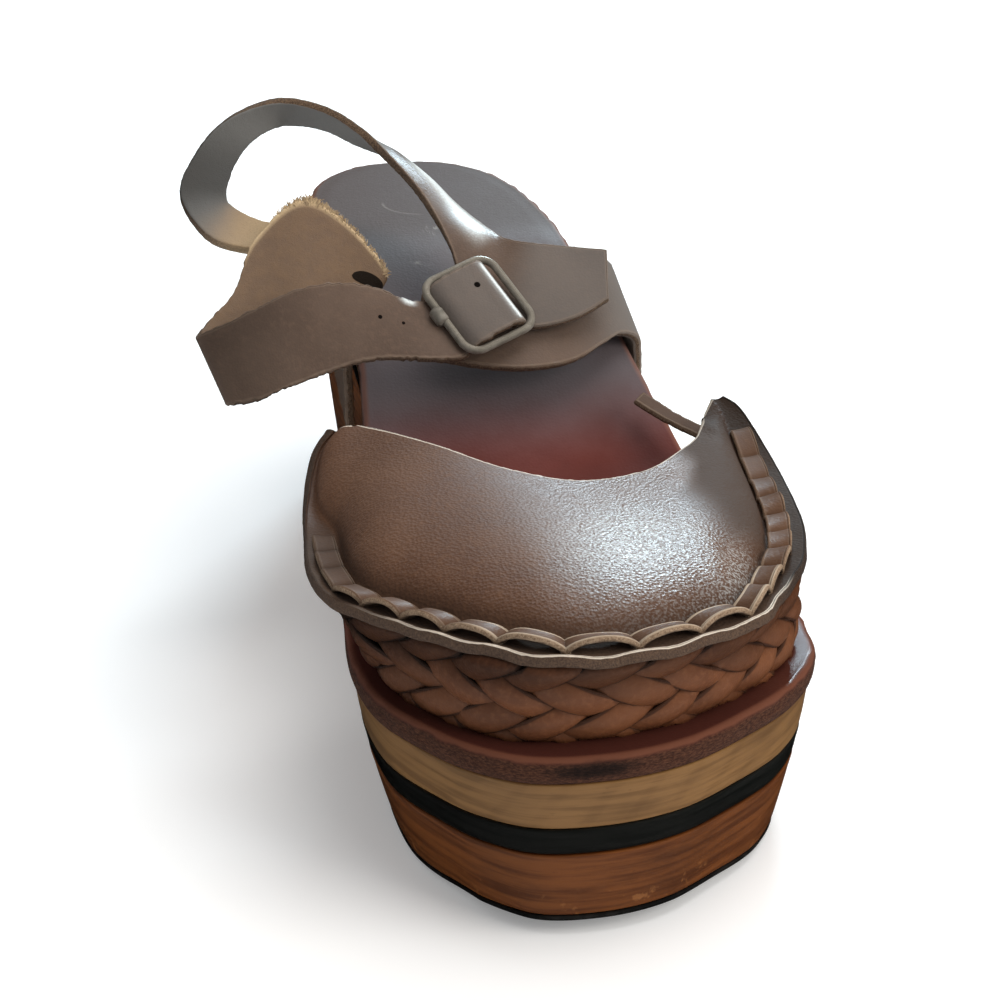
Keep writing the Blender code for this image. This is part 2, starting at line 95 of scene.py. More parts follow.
class Finish:  # one material, with its nodes
    def __init__(self, name, sockets):
        self.material = bpy.data.materials.new(name)
        self.material.use_nodes = True
        self.tree = self.material.node_tree
        self.shader = self.tree.nodes["Principled BSDF"]
        self.place = self.node("ShaderNodeTexCoord").outputs["Object"]
        self.feed(self.shader, sockets)

    def feed(self, made, inputs):
        for key, value in inputs.items():
            socket = value.socket if isinstance(value, Value) else value
            if isinstance(socket, bpy.types.NodeSocket):
                self.tree.links.new(socket, made.inputs[key])
            else:
                made.inputs[key].default_value = socket

    def node(self, kind, settings=None, inputs=None):
        made = self.tree.nodes.new(kind)
        for key, value in (settings or {}).items():
            setattr(made, key, value)
        self.feed(made, inputs or {})
        return made

    def stretched(self, scale, turn=(0.0, 0.0, 0.0)):
        inputs = {"Vector": self.place, "Rotation": turn, "Scale": scale}
        return self.node("ShaderNodeMapping", None, inputs).outputs[0]

    def noise(self, scale, detail=4.0, roughness=0.55, where=None):
        inputs = {"Vector": where or self.place, "Scale": scale, "Detail": detail, "Roughness": roughness}
        return Value(self, self.node("ShaderNodeTexNoise", None, inputs).outputs[0])

    def cells(self, scale):  # distance to the middle of the nearest cell
        inputs = {"Vector": self.place, "Scale": scale}
        return Value(self, self.node("ShaderNodeTexVoronoi", None, inputs).outputs["Distance"])

    def axes(self):
        made = self.node("ShaderNodeSeparateXYZ", None, {0: self.place})
        return [Value(self, made.outputs[axis]) for axis in range(3)]

    def mark(self, name):  # a number stored on the mesh
        made = self.node("ShaderNodeAttribute", {"attribute_name": name})
        return Value(self, made.outputs["Fac"])

    def blend(self, factor, first, second):
        made = self.node("ShaderNodeMix", {"data_type": "RGBA"}, {0: factor, 6: first, 7: second})
        return made.outputs[2]

    def bump(self, height, distance):
        inputs = {"Height": height, "Distance": distance, "Strength": 1.0}
        return self.node("ShaderNodeBump", None, inputs).outputs[0]


def tone(red, green, blue):  # a screen colour as the shader's linear one
    linear = [((level / 255 + 0.055) / 1.055) ** 2.4 for level in (red, green, blue)]
    return (*linear, 1.0)


# Shape of the last, in millimetres: side, station from the toe, height

shoe = {
    "length": 258.0, "centreSide": -7.34,
    "forefoot": 37.0, "heelRise": 45.0, "rise": (80.0, 196.0),
    "toeLift": (4.0, 70.0), "toeSpring": (3.2, 45.0), "heelSpring": (1.5, 14.0),
    "arch": (106.0, 138.0, 152.0, 184.0), "archHeight": 17.0,
    "taper": (7.5, 2.0), "taperPower": 1.6, "woodInset": 0.8, "gap": 0.3,
    "toeTip": (-5.5, 0.0), "heelTip": (0.0, 258.0),
    "plan": (  # station, medial rim, lateral rim
        (3.0, -22.5, 11.0), (11.0, -32.3, 25.0), (21.0, -38.6, 37.5), (34.0, -44.2, 46.3),
        (52.0, -46.4, 50.4), (75.0, -44.6, 50.3), (100.0, -39.3, 47.0), (125.0, -32.3, 42.2),
        (150.0, -28.8, 36.6), (180.0, -29.0, 31.0), (208.0, -30.2, 29.4), (230.0, -28.6, 26.8),
        (247.0, -21.8, 20.2), (255.5, -12.2, 11.4),
    ),
}


def soften(share):
    share = np.clip(share, 0.0, 1.0)
    return share * share * (3.0 - 2.0 * share)


def throughRows(rows, samples, closed=False):  # a smooth curve, its tangents weighted by chord
    knots = np.array(rows, float)
    if closed:
        chain = np.vstack([knots[-1:], knots, knots[:2]])
    else:
        chain = np.vstack([2 * knots[0] - knots[1], knots, 2 * knots[-1] - knots[-2]])
    step = np.diff(chain, axis=0)
    chord = np.linalg.norm(step, axis=1)[:, None]
    slope = step / chord
    tangent = (slope[:-1] * chord[1:] + slope[1:] * chord[:-1]) / (chord[:-1] + chord[1:])
    points = []
    for span in range(len(knots) if closed else len(knots) - 1):
        pullStart = tangent[span] * chord[span + 1]
        pullEnd = tangent[span + 1] * chord[span + 1]
        for share in np.arange(samples) / samples:
            square, cube = share * share, share ** 3
            leaving = chain[span + 1] * (2 * cube - 3 * square + 1) + pullStart * (cube - 2 * square + share)
            points.append(leaving + chain[span + 2] * (3 * square - 2 * cube) + pullEnd * (cube - square))
    if not closed:
        points.append(knots[-1])
    return np.array(points)


rimSamples = 32
rimRows = [shoe["toeTip"]]
rimRows += [(lateral, station) for station, medial, lateral in shoe["plan"]]
rimRows += [shoe["heelTip"]]
rimRows += [(medial, station) for station, medial, lateral in reversed(shoe["plan"])]
rimSpots = throughRows(rimRows, rimSamples, closed=True)
rimOuts = np.roll(rimSpots, -1, axis=0) - np.roll(rimSpots, 1, axis=0)
rimOuts = np.stack([rimOuts[:, 1], -rimOuts[:, 0]], axis=1) / np.linalg.norm(rimOuts, axis=1)[:, None]
rimSpots = np.vstack([rimSpots, rimSpots[:1]])
rimOuts = np.vstack([rimOuts, rimOuts[:1]])
rimRuns = np.concatenate([[0.0], np.cumsum(np.linalg.norm(np.diff(rimSpots, axis=0), axis=1))])
rimHeel = (len(shoe["plan"]) + 1) * rimSamples


def rimOut(run):
    run = np.mod(run, rimRuns[-1])
    return np.stack([np.interp(run, rimRuns, rimOuts[:, axis]) for axis in (0, 1)], axis=-1)


def rimSpot(run, inset):
    wrapped = np.mod(run, rimRuns[-1])
    spot = np.stack([np.interp(wrapped, rimRuns, rimSpots[:, axis]) for axis in (0, 1)], axis=-1)
    return spot - rimOut(run) * np.asarray(inset)[..., None]


def lateralRun(station):
    return np.interp(station, rimSpots[:rimHeel + 1, 1], rimRuns[:rimHeel + 1])


def medialRun(station):
    return np.interp(station, rimSpots[rimHeel:, 1][::-1], rimRuns[rimHeel:][::-1])


def insoleTop(station):
    lift, reach = shoe["toeLift"]
    start, end = shoe["rise"]
    return (shoe["forefoot"] + lift * soften(1.0 - station / reach)
            + shoe["heelRise"] * soften((station - start) / (end - start)))


def treadHeight(station):
    toe, toeReach = shoe["toeSpring"]
    heel, heelReach = shoe["heelSpring"]
    start, crownStart, crownEnd, end = shoe["arch"]
    front = soften((station - start) / (crownStart - start))
    back = soften((end - station) / (end - crownEnd))
    return (toe * soften(1.0 - station / toeReach) + shoe["archHeight"] * front * back
            + heel * soften((station - shoe["length"]) / heelReach + 1.0))


def wallInset(run, depth):  # the wooden wall leans in towards the floor
    side, end = shoe["taper"]
    station = rimSpot(run, np.zeros_like(run))[..., 1]
    share = np.clip(depth / (insoleTop(station) - treadHeight(station)), 0.0, 1.0)
    lean = side + (end - side) * rimOut(run)[..., 1] ** 2
    return shoe["woodInset"] + lean * share ** shoe["taperPower"]


def toMetres(points):
    return (points - np.array([shoe["centreSide"], shoe["length"] / 2, 0.0])) * mm


# Pieces

def addGrid(mesh, points, marks, flat=None):  # a grid of points, with its stored numbers and its UV map
    rows, columns = points.shape[:2]
    if flat is None:
        flat = points[..., :2] / cm
    made = bmesh.ops.create_grid(mesh, x_segments=rows - 1, y_segments=columns - 1, size=0.5)["verts"]
    flatLayer = mesh.loops.layers.uv["sheet"]
    layers = {name: mesh.verts.layers.float[name] for name in marks}
    spots = toMetres(points)
    uvOf = {}
    for vert in made:
        row = round((vert.co.x + 0.5) * (rows - 1))
        column = round((vert.co.y + 0.5) * (columns - 1))
        vert.co = spots[row, column]
        uvOf[vert] = flat[row, column]
        for name, values in marks.items():
            vert[layers[name]] = values[row, column]
    for face in {face for vert in made for face in vert.link_faces}:
        for loop in face.loops:
            loop[flatLayer].uv = uvOf[loop.vert]


def newMesh(marks):
    mesh = bmesh.new()
    for name in marks:
        mesh.verts.layers.float.new(name)
    mesh.loops.layers.uv.new("sheet")
    return mesh


def finishPiece(mesh, name, node, finish):
    bmesh.ops.remove_doubles(mesh, verts=mesh.verts[:], dist=weld)
    bmesh.ops.dissolve_degenerate(mesh, edges=mesh.edges[:], dist=1e-6)
    bmesh.ops.recalc_face_normals(mesh, faces=mesh.faces[:])
    data = bpy.data.meshes.new(name)
    mesh.to_mesh(data)
    mesh.free()
    data.shade_smooth()
    data.materials.append(finish.material)
    piece = bpy.data.objects.new(name, data)
    bpy.context.scene.collection.objects.link(piece)
    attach(piece, "root")
    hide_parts(node)
    print(name, "built,", len(data.polygons), "faces")
    return piece


def edgeSteps(span, count, fine=(0.0, 0.12, 0.3, 0.6, 1.0, 1.6)):  # shares of a span, closer at its ends
    near = np.array(fine) / span
    middle = np.linspace(near[-1], 1.0 - near[-1], count)
    return np.concatenate([near[:-1], middle, 1.0 - near[:-1][::-1]])


# defaults for the marks of wear, of painted shade and of painted highlight
unwornUnlit = {"soil": 0.0, "pale": 0.0, "shade": 0.0, "polish": 0.0, "lip": 1.0}
leatherMarks = ("flesh", "rawEdge", *unwornUnlit)


def sheetNormals(points):
    normal = np.cross(np.gradient(points, axis=0), np.gradient(points, axis=1))
    return normal / (np.linalg.norm(normal, axis=2)[..., None] + 1e-9)


def facesUp(points, column):
    return sheetNormals(points)[len(points) // 2, column, 2] > 0.0


def calmed(normal, passes):  # normals evened out, so that a wall keeps its form in a tight corner
    for _ in range(passes):
        around = np.pad(normal, ((1, 1), (1, 1), (0, 0)), mode="edge")
        normal = normal + around[:-2, 1:-1] + around[2:, 1:-1] + around[1:-1, :-2] + around[1:-1, 2:]
        normal = normal / (np.linalg.norm(normal, axis=2)[..., None] + 1e-9)
    return normal


def addLeather(mesh, points, wall, grainUp=True, square=5.0, fray=0.0, seed=0.0, roundness=None, calm=0,
               **wearAndPaintedLight):
    # one closed sheet about its middle surface: the grain side and the flesh side share the raw edge
    lengthways = np.linalg.norm(np.diff(points, axis=0), axis=2)
    crossways = np.linalg.norm(np.diff(points, axis=1), axis=2)
    along = np.concatenate([np.zeros((1, points.shape[1])), np.cumsum(lengthways, axis=0)], axis=0)
    across = np.concatenate([np.zeros((points.shape[0], 1)), np.cumsum(crossways, axis=1)], axis=1)
    toEnd = np.minimum(along, along[-1:] - along)
    toEdge = np.minimum(across, across[:, -1:] - across)
    normal = calmed(sheetNormals(points), calm)
    reach = roundness or wall / 2

    def plump(distance):
        return (1.0 - np.clip(1.0 - distance / reach, 0.0, 1.0) ** square) ** (1.0 / square)

    half = wall / 2 * plump(toEdge) * plump(toEnd)
    if np.any(fray):
        points = points + frayed(points, np.minimum(toEdge, toEnd), fray, seed)
    raw = 1.0 - soften(np.minimum(toEdge, toEnd) / 1.2)
    flat = np.stack([along + seed * 7.0, across + seed * 3.0], axis=2) / cm
    marks = {name: 0.0 * raw + value for name, value in (unwornUnlit | wearAndPaintedLight).items()}
    marks["rawEdge"] = raw
    for side in (1.0, -1.0):
        marks["flesh"] = np.full(raw.shape, 0.0 if (side > 0) == grainUp else 1.0)
        addGrid(mesh, points + normal * (half * side)[..., None], marks, flat)


def frayed(points, toEdge, amount, seed):  # a ragged cut edge
    shift = np.zeros_like(points)
    fade = amount * np.clip(1.0 - toEdge / 1.5, 0.0, 1.0)
    for row, column in zip(*np.nonzero(fade)):
        spot = Vector(points[row, column]) * 0.9 + Vector((seed, 0.0, 0.0))
        shift[row, column] = noise.noise_vector(spot) * fade[row, column]
    return shift


# Camera, floor and light

camera = {"place": (-108.50, -376.05, 270.18), "direction": (0.19310, 0.89020, -0.41263),
          "focal": 2400.0, "picture": 1000.0, "sensor": 36.0}


def makeCamera():
    data = bpy.data.cameras.new("camera")
    data.sensor_width = camera["sensor"]
    data.lens = camera["focal"] / camera["picture"] * camera["sensor"]
    data.clip_start = 0.01
    eye = bpy.data.objects.new("camera", data)
    eye.location = toMetres(np.array(camera["place"]))
    eye.rotation_euler = Vector(camera["direction"]).to_track_quat("-Z", "Y").to_euler()
    bpy.context.scene.collection.objects.link(eye)
    bpy.context.scene.camera = eye


studio = {
    "floor": (0.9, 0.9, 0.9), "floorSize": 6.0, "glow": 0.2, "ambient": 0.36,
    "lights": (  # name, place, target, size, watts, colour, seen in the gloss
        ("window", (0.40, 0.90, 0.67), (0.03, -0.06, 0.065), 0.30, 7.0, (0.70, 0.89, 1.0), True),
        ("fill", (1.0, -0.75, 0.75), (0.0, -0.05, 0.03), 0.9, 11.0, (1.0, 0.96, 0.90), False),
        ("top", (0.35, 0.1, 1.5), (0.0, 0.0, 0.05), 1.2, 15.0, (1.0, 0.98, 0.96), False),
    ),
}


def makeStudio():
    white = (1.0, 1.0, 1.0, 1.0)
    mesh = bmesh.new()
    bmesh.ops.create_grid(mesh, x_segments=1, y_segments=1, size=studio["floorSize"] / 2)
    data = bpy.data.meshes.new("floor")
    mesh.to_mesh(data)
    mesh.free()
    paper = Finish("floorPaper", {"Base Color": (*studio["floor"], 1.0), "Roughness": 0.9,
                                  "Emission Color": white, "Emission Strength": studio["glow"]})
    data.materials.append(paper.material)
    floor = bpy.data.objects.new("floor", data)
    bpy.context.scene.collection.objects.link(floor)
    floor.visible_glossy = False
    for name, place, target, size, watts, colour, shines in studio["lights"]:
        lamp = bpy.data.lights.new(name, "AREA")
        lamp.size = size
        lamp.energy = watts
        lamp.color = colour
        light = bpy.data.objects.new(name, lamp)
        light.location = place
        light.visible_glossy = shines
        light.rotation_euler = (Vector(target) - Vector(place)).to_track_quat("-Z", "Y").to_euler()
        bpy.context.scene.collection.objects.link(light)
    world = bpy.data.worlds.new("studio")
    world.use_nodes = True
    sky = world.node_tree.nodes["Background"]
    sky.inputs["Color"].default_value = white
    sky.inputs["Strength"].default_value = studio["ambient"]
    world.cycles_visibility.glossy = False
    bpy.context.scene.world = world
    bpy.context.scene.view_settings.view_transform = "Standard"


makeCamera()
makeStudio()
print("camera and studio set")


# Finishes

leathers = {
    "vamp": {
        "body": (108, 76, 55), "dark": (90, 60, 42), "warm": (116, 82, 58), "soil": (88, 70, 58),
        "suede": (92, 70, 54), "raw": (112, 88, 70), "cut": (84, 66, 55), "pale": (190, 160, 120),
        "lip": (246, 232, 214), "lipShare": 0.95, "gloss": 0.33, "shine": 0.5, "sparkle": 1.0,
        "grain": 1450.0, "depth": 0.00017, "inside": 0.0, "dullFrom": (-0.018, 0.014),
    },
    "strap": {
        "body": (110, 92, 80), "dark": (92, 76, 66), "warm": (118, 96, 81), "soil": (118, 118, 116),
        "suede": (112, 92, 76), "raw": (122, 99, 78), "cut": (70, 56, 46), "pale": (206, 180, 142),
        "lip": (150, 130, 112), "lipShare": 0.25, "gloss": 0.38, "shine": 0.5, "sparkle": 0.15,
        "grain": 1800.0, "depth": 0.00005, "inside": 0.0,
    },
    "braid": {
        "body": (132, 82, 51), "dark": (99, 59, 38), "warm": (146, 94, 60), "soil": (60, 38, 28),
        "suede": (60, 44, 34), "raw": (60, 38, 28), "cut": (36, 25, 20), "pale": (190, 160, 120),
        "lip": (70, 44, 31), "lipShare": 0.7, "gloss": 0.46, "shine": 0.4, "sparkle": 0.0,
        "grain": 1800.0, "depth": 0.00007, "inside": 0.6,
    },
    "thong": {
        "body": (112, 82, 62), "dark": (88, 63, 47), "warm": (122, 92, 71), "soil": (90, 67, 52),
        "suede": (60, 46, 38), "raw": (170, 146, 122), "cut": (120, 98, 78), "pale": (190, 160, 120),
        "lip": (204, 184, 160), "lipShare": 0.7, "gloss": 0.44, "shine": 0.2, "sparkle": 0.0,
        "grain": 1800.0, "depth": 0.00006, "inside": 0.0,
    },
}
# tone of the painted shade, then the bluish white of the painted highlight
paintedShadeTone = (18, 14, 12)
gleam = (228, 235, 235)


def dull(finish, look):  # the inner half of the vamp has lost its polish
    if "dullFrom" not in look:
        return 0.0
    return 0.4 * (1 - finish.axes()[0].rise(*look["dullFrom"]))


def leatherFinish(name, look):
    finish = Finish(name, {"Coat Weight": 0.03, "Coat Roughness": 0.35, "Specular IOR Level": look["shine"]})
    flesh = finish.mark("flesh")
    raw = finish.mark("rawEdge")
    soil = finish.mark("soil")
    clouds = finish.noise(38.0, 5.0, 0.6)
    specks = finish.noise(800.0, 3.0, 0.6)
    pores = finish.cells(look["grain"])
    fibres = finish.noise(2600.0, 4.0, 0.7)
    pale = finish.mark("pale")
    worn = finish.blend(clouds.rise(0.25, 0.8), tone(*look["dark"]), tone(*look["body"]))
    worn = finish.blend(specks.rise(0.45, 0.75) * 0.4, worn, tone(*look["warm"]))
    nap = finish.noise(300.0, 5.0, 0.7)
    suede = finish.blend(nap.rise(0.3, 0.7) * 0.8, tone(*look["suede"]), tone(*look["raw"]))
    colour = finish.blend(flesh, worn, suede)
    colour = finish.blend(soil * (0.7 + 0.6 * clouds).rise(0.0, 1.0), colour, tone(*look["soil"]))
    lip = raw.rise(0.2, 0.4) * (1 - raw.rise(0.978, 0.99)) * (1 - flesh) * finish.mark("lip")
    cut = finish.blend(fibres.rise(0.35, 0.7), tone(*look["cut"]), tone(*look["raw"]))
    colour = finish.blend(lip * look["lipShare"], colour, tone(*look["lip"]))
    colour = finish.blend(raw.rise(0.965, 0.988), colour, cut)
    colour = finish.blend(pale * (0.5 + 0.7 * fibres).rise(0.2, 1.0), colour, tone(*look["pale"]))
    # painted shade: the shade mark darkens the colour, less on the braid's flesh side
    shade = finish.mark("shade") * (1 - look["inside"] * flesh)
    colour = finish.blend(shade * (0.8 + 0.4 * clouds).rise(0.0, 1.0), colour, tone(*paintedShadeTone))
    # painted highlight: where the mark is set the colour goes towards a bluish white, speckled on the vamp
    polish = finish.mark("polish")
    sparkle = finish.noise(1900.0, 2.0, 0.5).rise(0.4, 0.65) * look["sparkle"]
    glint = (polish * (1.0 - 0.6 * look["sparkle"] + 1.5 * sparkle)).rise(0.0, 1.0)
    colour = finish.blend(glint, colour, tone(*gleam))
    hair = (flesh + raw.rise(0.5, 0.9)).rise(0.0, 1.0)
    rough = look["gloss"] + 0.16 * (clouds - 0.5) + 0.12 * (specks - 0.5) + 0.55 * soil + dull(finish, look)
    rough = rough + (0.92 - rough) * hair
    relief = pores * (1 - hair) * 0.7 + specks * 0.5 * (1 - hair) + (fibres * 3.0 + nap * 6.0) * hair
    finish.feed(finish.shader, {"Base Color": colour, "Roughness": rough,
                                "Normal": finish.bump(relief, look["depth"])})
    return finish


insoleLook = {
    "body": (116, 57, 49), "dark": (94, 47, 41), "toe": (74, 38, 31), "grey": (98, 94, 97),
    "heel": (81, 69, 65), "raw": (96, 62, 46), "cut": (56, 35, 28), "rim": (132, 84, 62),
    "scuff": (176, 168, 160), "stain": (20, 18, 18), "gloss": 0.55,
    "toeEnds": (-0.11, -0.05), "greyFrom": (-0.012, 0.014), "heelFrom": (0.03, 0.075),
    "smudge": (-0.0016, -0.1287, 0.0384), "smudgeSize": (0.0012, 0.003),
    "arc": (0.0068, 0.0898, 0.01018), "smear": (-0.0012, 0.0494), "cluster": (0.0058, 0.0666),
    "waxSide": (0.030, 0.044), "waxAlong": (-0.085, -0.06),
}


def insoleFinish():
    finish = Finish("insoleLeather", {"Specular IOR Level": 0.2, "Coat Roughness": 0.22})
    raw = finish.mark("rawEdge")
    side, along, height = finish.axes()
    clouds = finish.noise(28.0, 5.0, 0.6)
    specks = finish.noise(600.0, 4.0, 0.65)
    fibres = finish.noise(2200.0, 4.0, 0.7, finish.stretched((0.5, 0.5, 1.6)))
    colour = finish.blend(clouds.rise(0.3, 0.75), tone(*insoleLook["dark"]), tone(*insoleLook["body"]))
    colour = finish.blend(1 - along.rise(*insoleLook["toeEnds"]), colour, tone(*insoleLook["toe"]))
    # greyer under the straps as painted shade, and grey-purple towards the heel as a painted reflection
    drift = along + 0.02 * (clouds - 0.5)
    colour = finish.blend(drift.rise(*insoleLook["greyFrom"]) * 0.9, colour, tone(*insoleLook["grey"]))
    colour = finish.blend(drift.rise(*insoleLook["heelFrom"]), colour, tone(*insoleLook["heel"]))
    scuffs = insoleScuffs(finish, side, along, specks)
    colour = finish.blend(scuffs, colour, tone(*insoleLook["scuff"]))
    rim = raw.rise(0.1, 0.3) * (1 - raw.rise(0.4, 0.6))
    colour = finish.blend(rim * 0.5, colour, tone(*insoleLook["rim"]))
    cut = finish.blend(fibres.rise(0.35, 0.7), tone(*insoleLook["cut"]), tone(*insoleLook["raw"]))
    colour = finish.blend(raw.rise(0.4, 0.65), colour, cut)
    smudgeSide, smudgeAlong, smudgeHeight = insoleLook["smudge"]
    far = ((side - smudgeSide) / 5.0) ** 2 + (along - smudgeAlong) ** 2 + (height - smudgeHeight) ** 2
    smudge = 1 - (far ** 0.5 + 0.001 * specks).rise(*insoleLook["smudgeSize"])
    colour = finish.blend(smudge * 0.8, colour, tone(*insoleLook["stain"]))
    rough = insoleLook["gloss"] + 0.2 * (clouds - 0.5) + 0.15 * (specks - 0.5) + 0.4 * raw.rise(0.3, 0.7)
    wax = side.rise(*insoleLook["waxSide"]) * (1 - along.rise(*insoleLook["waxAlong"]))
    wax = wax * (1 - raw.rise(0.3, 0.6)) * (0.3 + specks)
    relief = specks * 0.4 + finish.cells(1500.0) * 0.25 + fibres * raw.rise(0.4, 0.8) * 3.0
    finish.feed(finish.shader, {"Base Color": colour, "Roughness": rough, "Coat Weight": wax,
                                "Normal": finish.bump(relief, 0.0001)})
    return finish


def insoleScuffs(finish, side, along, specks):  # marks worn into the heel
    arcSide, arcAlong, arcRadius = insoleLook["arc"]
    ring = abs(((side - arcSide) ** 2 + (along - arcAlong) ** 2) ** 0.5 - arcRadius)
    arc = (1 - ring.rise(0.0, 0.0007)) * (1 - side.rise(arcSide - 0.003, arcSide))
    arc = arc * (1 - along.rise(arcAlong, arcAlong + 0.003)) * (0.15 + 0.5 * specks)
    smearSide, smearAlong = insoleLook["smear"]
    bent = along - smearAlong + (side - smearSide) * 0.3
    smear = (1 - abs(bent).rise(0.0002, 0.0016)) * (1 - abs(side - smearSide).rise(0.001, 0.004))
    clusterSide, clusterAlong = insoleLook["cluster"]
    near = (((side - clusterSide) * 1.4) ** 2 + (along - clusterAlong) ** 2) ** 0.5
    lines = finish.noise(900.0, 3.0, 0.6, finish.stretched((1.0, 0.2, 1.0), (0.0, 0.0, 0.6)))
    cluster = (1 - near.rise(0.002, 0.006)) * lines.rise(0.52, 0.7)
    return (arc + smear * specks.rise(0.3, 0.7) * 0.5 + cluster * 0.6).rise(0.0, 1.3)


woods = {
    "pale": {
        "early": (140, 102, 58), "late": (116, 82, 44), "stain": (94, 65, 36), "gloss": 0.48,
        "heart": (0.12, -0.07), "ring": 0.0062, "rings": 0.16, "relief": 0.00004,
    },
    "base": {
        "early": (124, 70, 28), "late": (92, 48, 18), "stain": (66, 36, 19), "gloss": 0.42,
        "heart": (0.0, -0.4), "ring": 0.011, "rings": 0.25, "relief": 0.00004, "chips": (168, 110, 58),
    },
    "stripe": {
        "early": (28, 29, 27), "late": (20, 22, 20), "stain": (14, 15, 14), "gloss": 0.46,
        "heart": (0.0, -0.4), "ring": 0.004, "rings": 0.3, "relief": 0.00003,
    },
}


def woodFinish(name, look):
    finish = Finish(name, {"Coat Weight": 0.08, "Coat Roughness": 0.3})
    wander = finish.noise(16.0, 3.0, 0.5, finish.stretched((1.0, 0.25, 1.0)))
    side, along, height = finish.axes()
    heartSide, heartHeight = look["heart"]
    radius = ((side - heartSide) ** 2 + (height - heartHeight) ** 2) ** 0.5
    wave = ((radius + (wander - 0.5) * 0.014) * (2 * math.pi / look["ring"])).sine()
    streaks = finish.noise(800.0, 4.0, 0.6, finish.stretched((0.05, 0.03, 1.0)))
    clouds = finish.noise(36.0, 5.0, 0.65, finish.stretched((0.6, 0.6, 1.6)))
    pits = finish.noise(1500.0, 2.0, 0.6, finish.stretched((0.4, 0.15, 1.0)))
    late = wave.rise(0.2, 1.0) * look["rings"] + streaks.rise(0.35, 0.7) * 0.8
    colour = finish.blend(late.rise(0.0, 1.0), tone(*look["early"]), tone(*look["late"]))
    colour = finish.blend(clouds.rise(0.45, 0.8) * 0.7, colour, tone(*look["stain"]))
    colour = finish.blend(pits.rise(0.66, 0.8) * 0.5, colour, tone(*look["stain"]))
    if "chips" in look:  # worn specks near the floor
        chips = finish.noise(330.0, 3.0, 0.6).rise(0.6, 0.7) * (1 - height.rise(0.004, 0.013))
        colour = finish.blend(chips * 0.6, colour, tone(*look["chips"]))
    rough = look["gloss"] + 0.2 * (clouds - 0.5) + 0.12 * (streaks - 0.5)
    relief = streaks * 0.6 + pits * 0.4
    finish.feed(finish.shader, {"Base Color": colour, "Roughness": rough,
                                "Normal": finish.bump(relief, look["relief"])})
    return finish


def rubberFinish():
    finish = Finish("treadRubber", {})
    dust = finish.noise(160.0, 5.0, 0.65)
    colour = finish.blend(dust.rise(0.45, 0.75) * 0.5, tone(20, 20, 20), tone(58, 54, 50))
    finish.feed(finish.shader, {"Base Color": colour, "Roughness": 0.65 + 0.25 * (dust - 0.5),
                                "Normal": finish.bump(finish.noise(1400.0), 0.00008)})
    return finish


def bronzeFinish():
    finish = Finish("buckleBronze", {"Metallic": 0.3})
    patina = finish.noise(260.0, 5.0, 0.6)
    rubAndSheen = finish.mark("rubAndSheen")
    colour = finish.blend(patina.rise(0.35, 0.7), tone(120, 115, 106), tone(158, 152, 142))
    # the rod's upper side is lighter and smoother: rubbing, with a painted highlight
    colour = finish.blend(rubAndSheen.rise(0.4, 1.0) * 0.5, colour, tone(160, 152, 138))
    rough = 0.42 - 0.16 * rubAndSheen + 0.2 * (patina - 0.5)
    finish.feed(finish.shader, {"Base Color": colour, "Roughness": rough,
                                "Normal": finish.bump(patina, 0.00005)})
    return finish


hides = {name: leatherFinish(name + "Leather", look) for name, look in leathers.items()}
insoleLeather = insoleFinish()
timbers = {name: woodFinish(name + "Wood", look) for name, look in woods.items()}
treadRubber = rubberFinish()
buckleBronze = bronzeFinish()
print("finishes mixed")


# Sole

sole = {
    "around": 180, "spine": (34.0, 226.0), "insole": 5.6, "pale": 15.9, "stripe": 21.8, "rubber": 1.2,
    "treads": {"forefoot": (None, 108.0), "heel": (183.0, None)},
    "insoleRim": (  # inset, depth, raw edge
        (6.0, 0.0, 0.0), (4.2, 0.0, 0.0), (3.0, 0.12, 0.05), (2.0, 0.1, 0.12), (1.2, 0.1, 0.25),
        (0.6, 0.4, 0.35), (0.2, 0.9, 0.5), (0.0, 1.6, 0.7), (0.1, 2.4, 0.9), (0.0, 3.2, 1.0),
        (0.15, 4.2, 1.0), (0.4, 5.0, 1.0), (0.8, 5.6, 1.0),
    ),
    "discs": (0.0, 0.2, 0.4, 0.6, 0.8, 0.92), "bevel": 0.45,
}


def layerPoints(rings):  # rows round the rim, columns over the rings: share of the way out, inset, height
    turn = np.linspace(0.0, 2.0, 2 * sole["around"] + 1)
    station = shoe["length"] * (1.0 - np.cos(math.pi * turn)) / 2
    run = np.where(turn <= 1.0, lateralRun(station), medialRun(station))
    run[-1] = rimRuns[-1]
    spineStation = np.clip(station, *sole["spine"])
    lateral = rimSpot(lateralRun(spineStation), 0.0 * spineStation)
    medial = rimSpot(medialRun(spineStation), 0.0 * spineStation)
    spine = np.stack([(lateral[:, 0] + medial[:, 0]) / 2, spineStation], axis=1)
    columns = []
    for share, inset, height in rings:
        plan = spine + (rimSpot(run, inset(run)) - spine) * share
        columns.append(np.concatenate([plan, height(plan[:, 1:2])], axis=1))
    points = np.stack(columns, axis=1)
    points[-1] = points[0]
    return points


def level(inset):
    return lambda run: np.full_like(run, inset)


def below(depth):
    return lambda station: insoleTop(station) - depth


def insolePiece():
    topInset = sole["insoleRim"][0][0]
    rings = [(share, level(topInset), below(0.0)) for share in sole["discs"]]
    raw = [0.0] * len(rings)
    for inset, depth, edge in sole["insoleRim"]:
        rings.append((1.0, level(inset), below(depth)))
        raw.append(edge)
    for share in (0.6, 0.0):
        rings.append((share, level(shoe["woodInset"]), below(sole["insole"])))
        raw.append(1.0)
    points = layerPoints(rings)
    points = points + ruggedRim(points, np.array(raw))
    mesh = newMesh(("rawEdge",))
    addGrid(mesh, points, {"rawEdge": np.tile(raw, (points.shape[0], 1))})
    finishPiece(mesh, "insole_leather", "insole", insoleLeather)


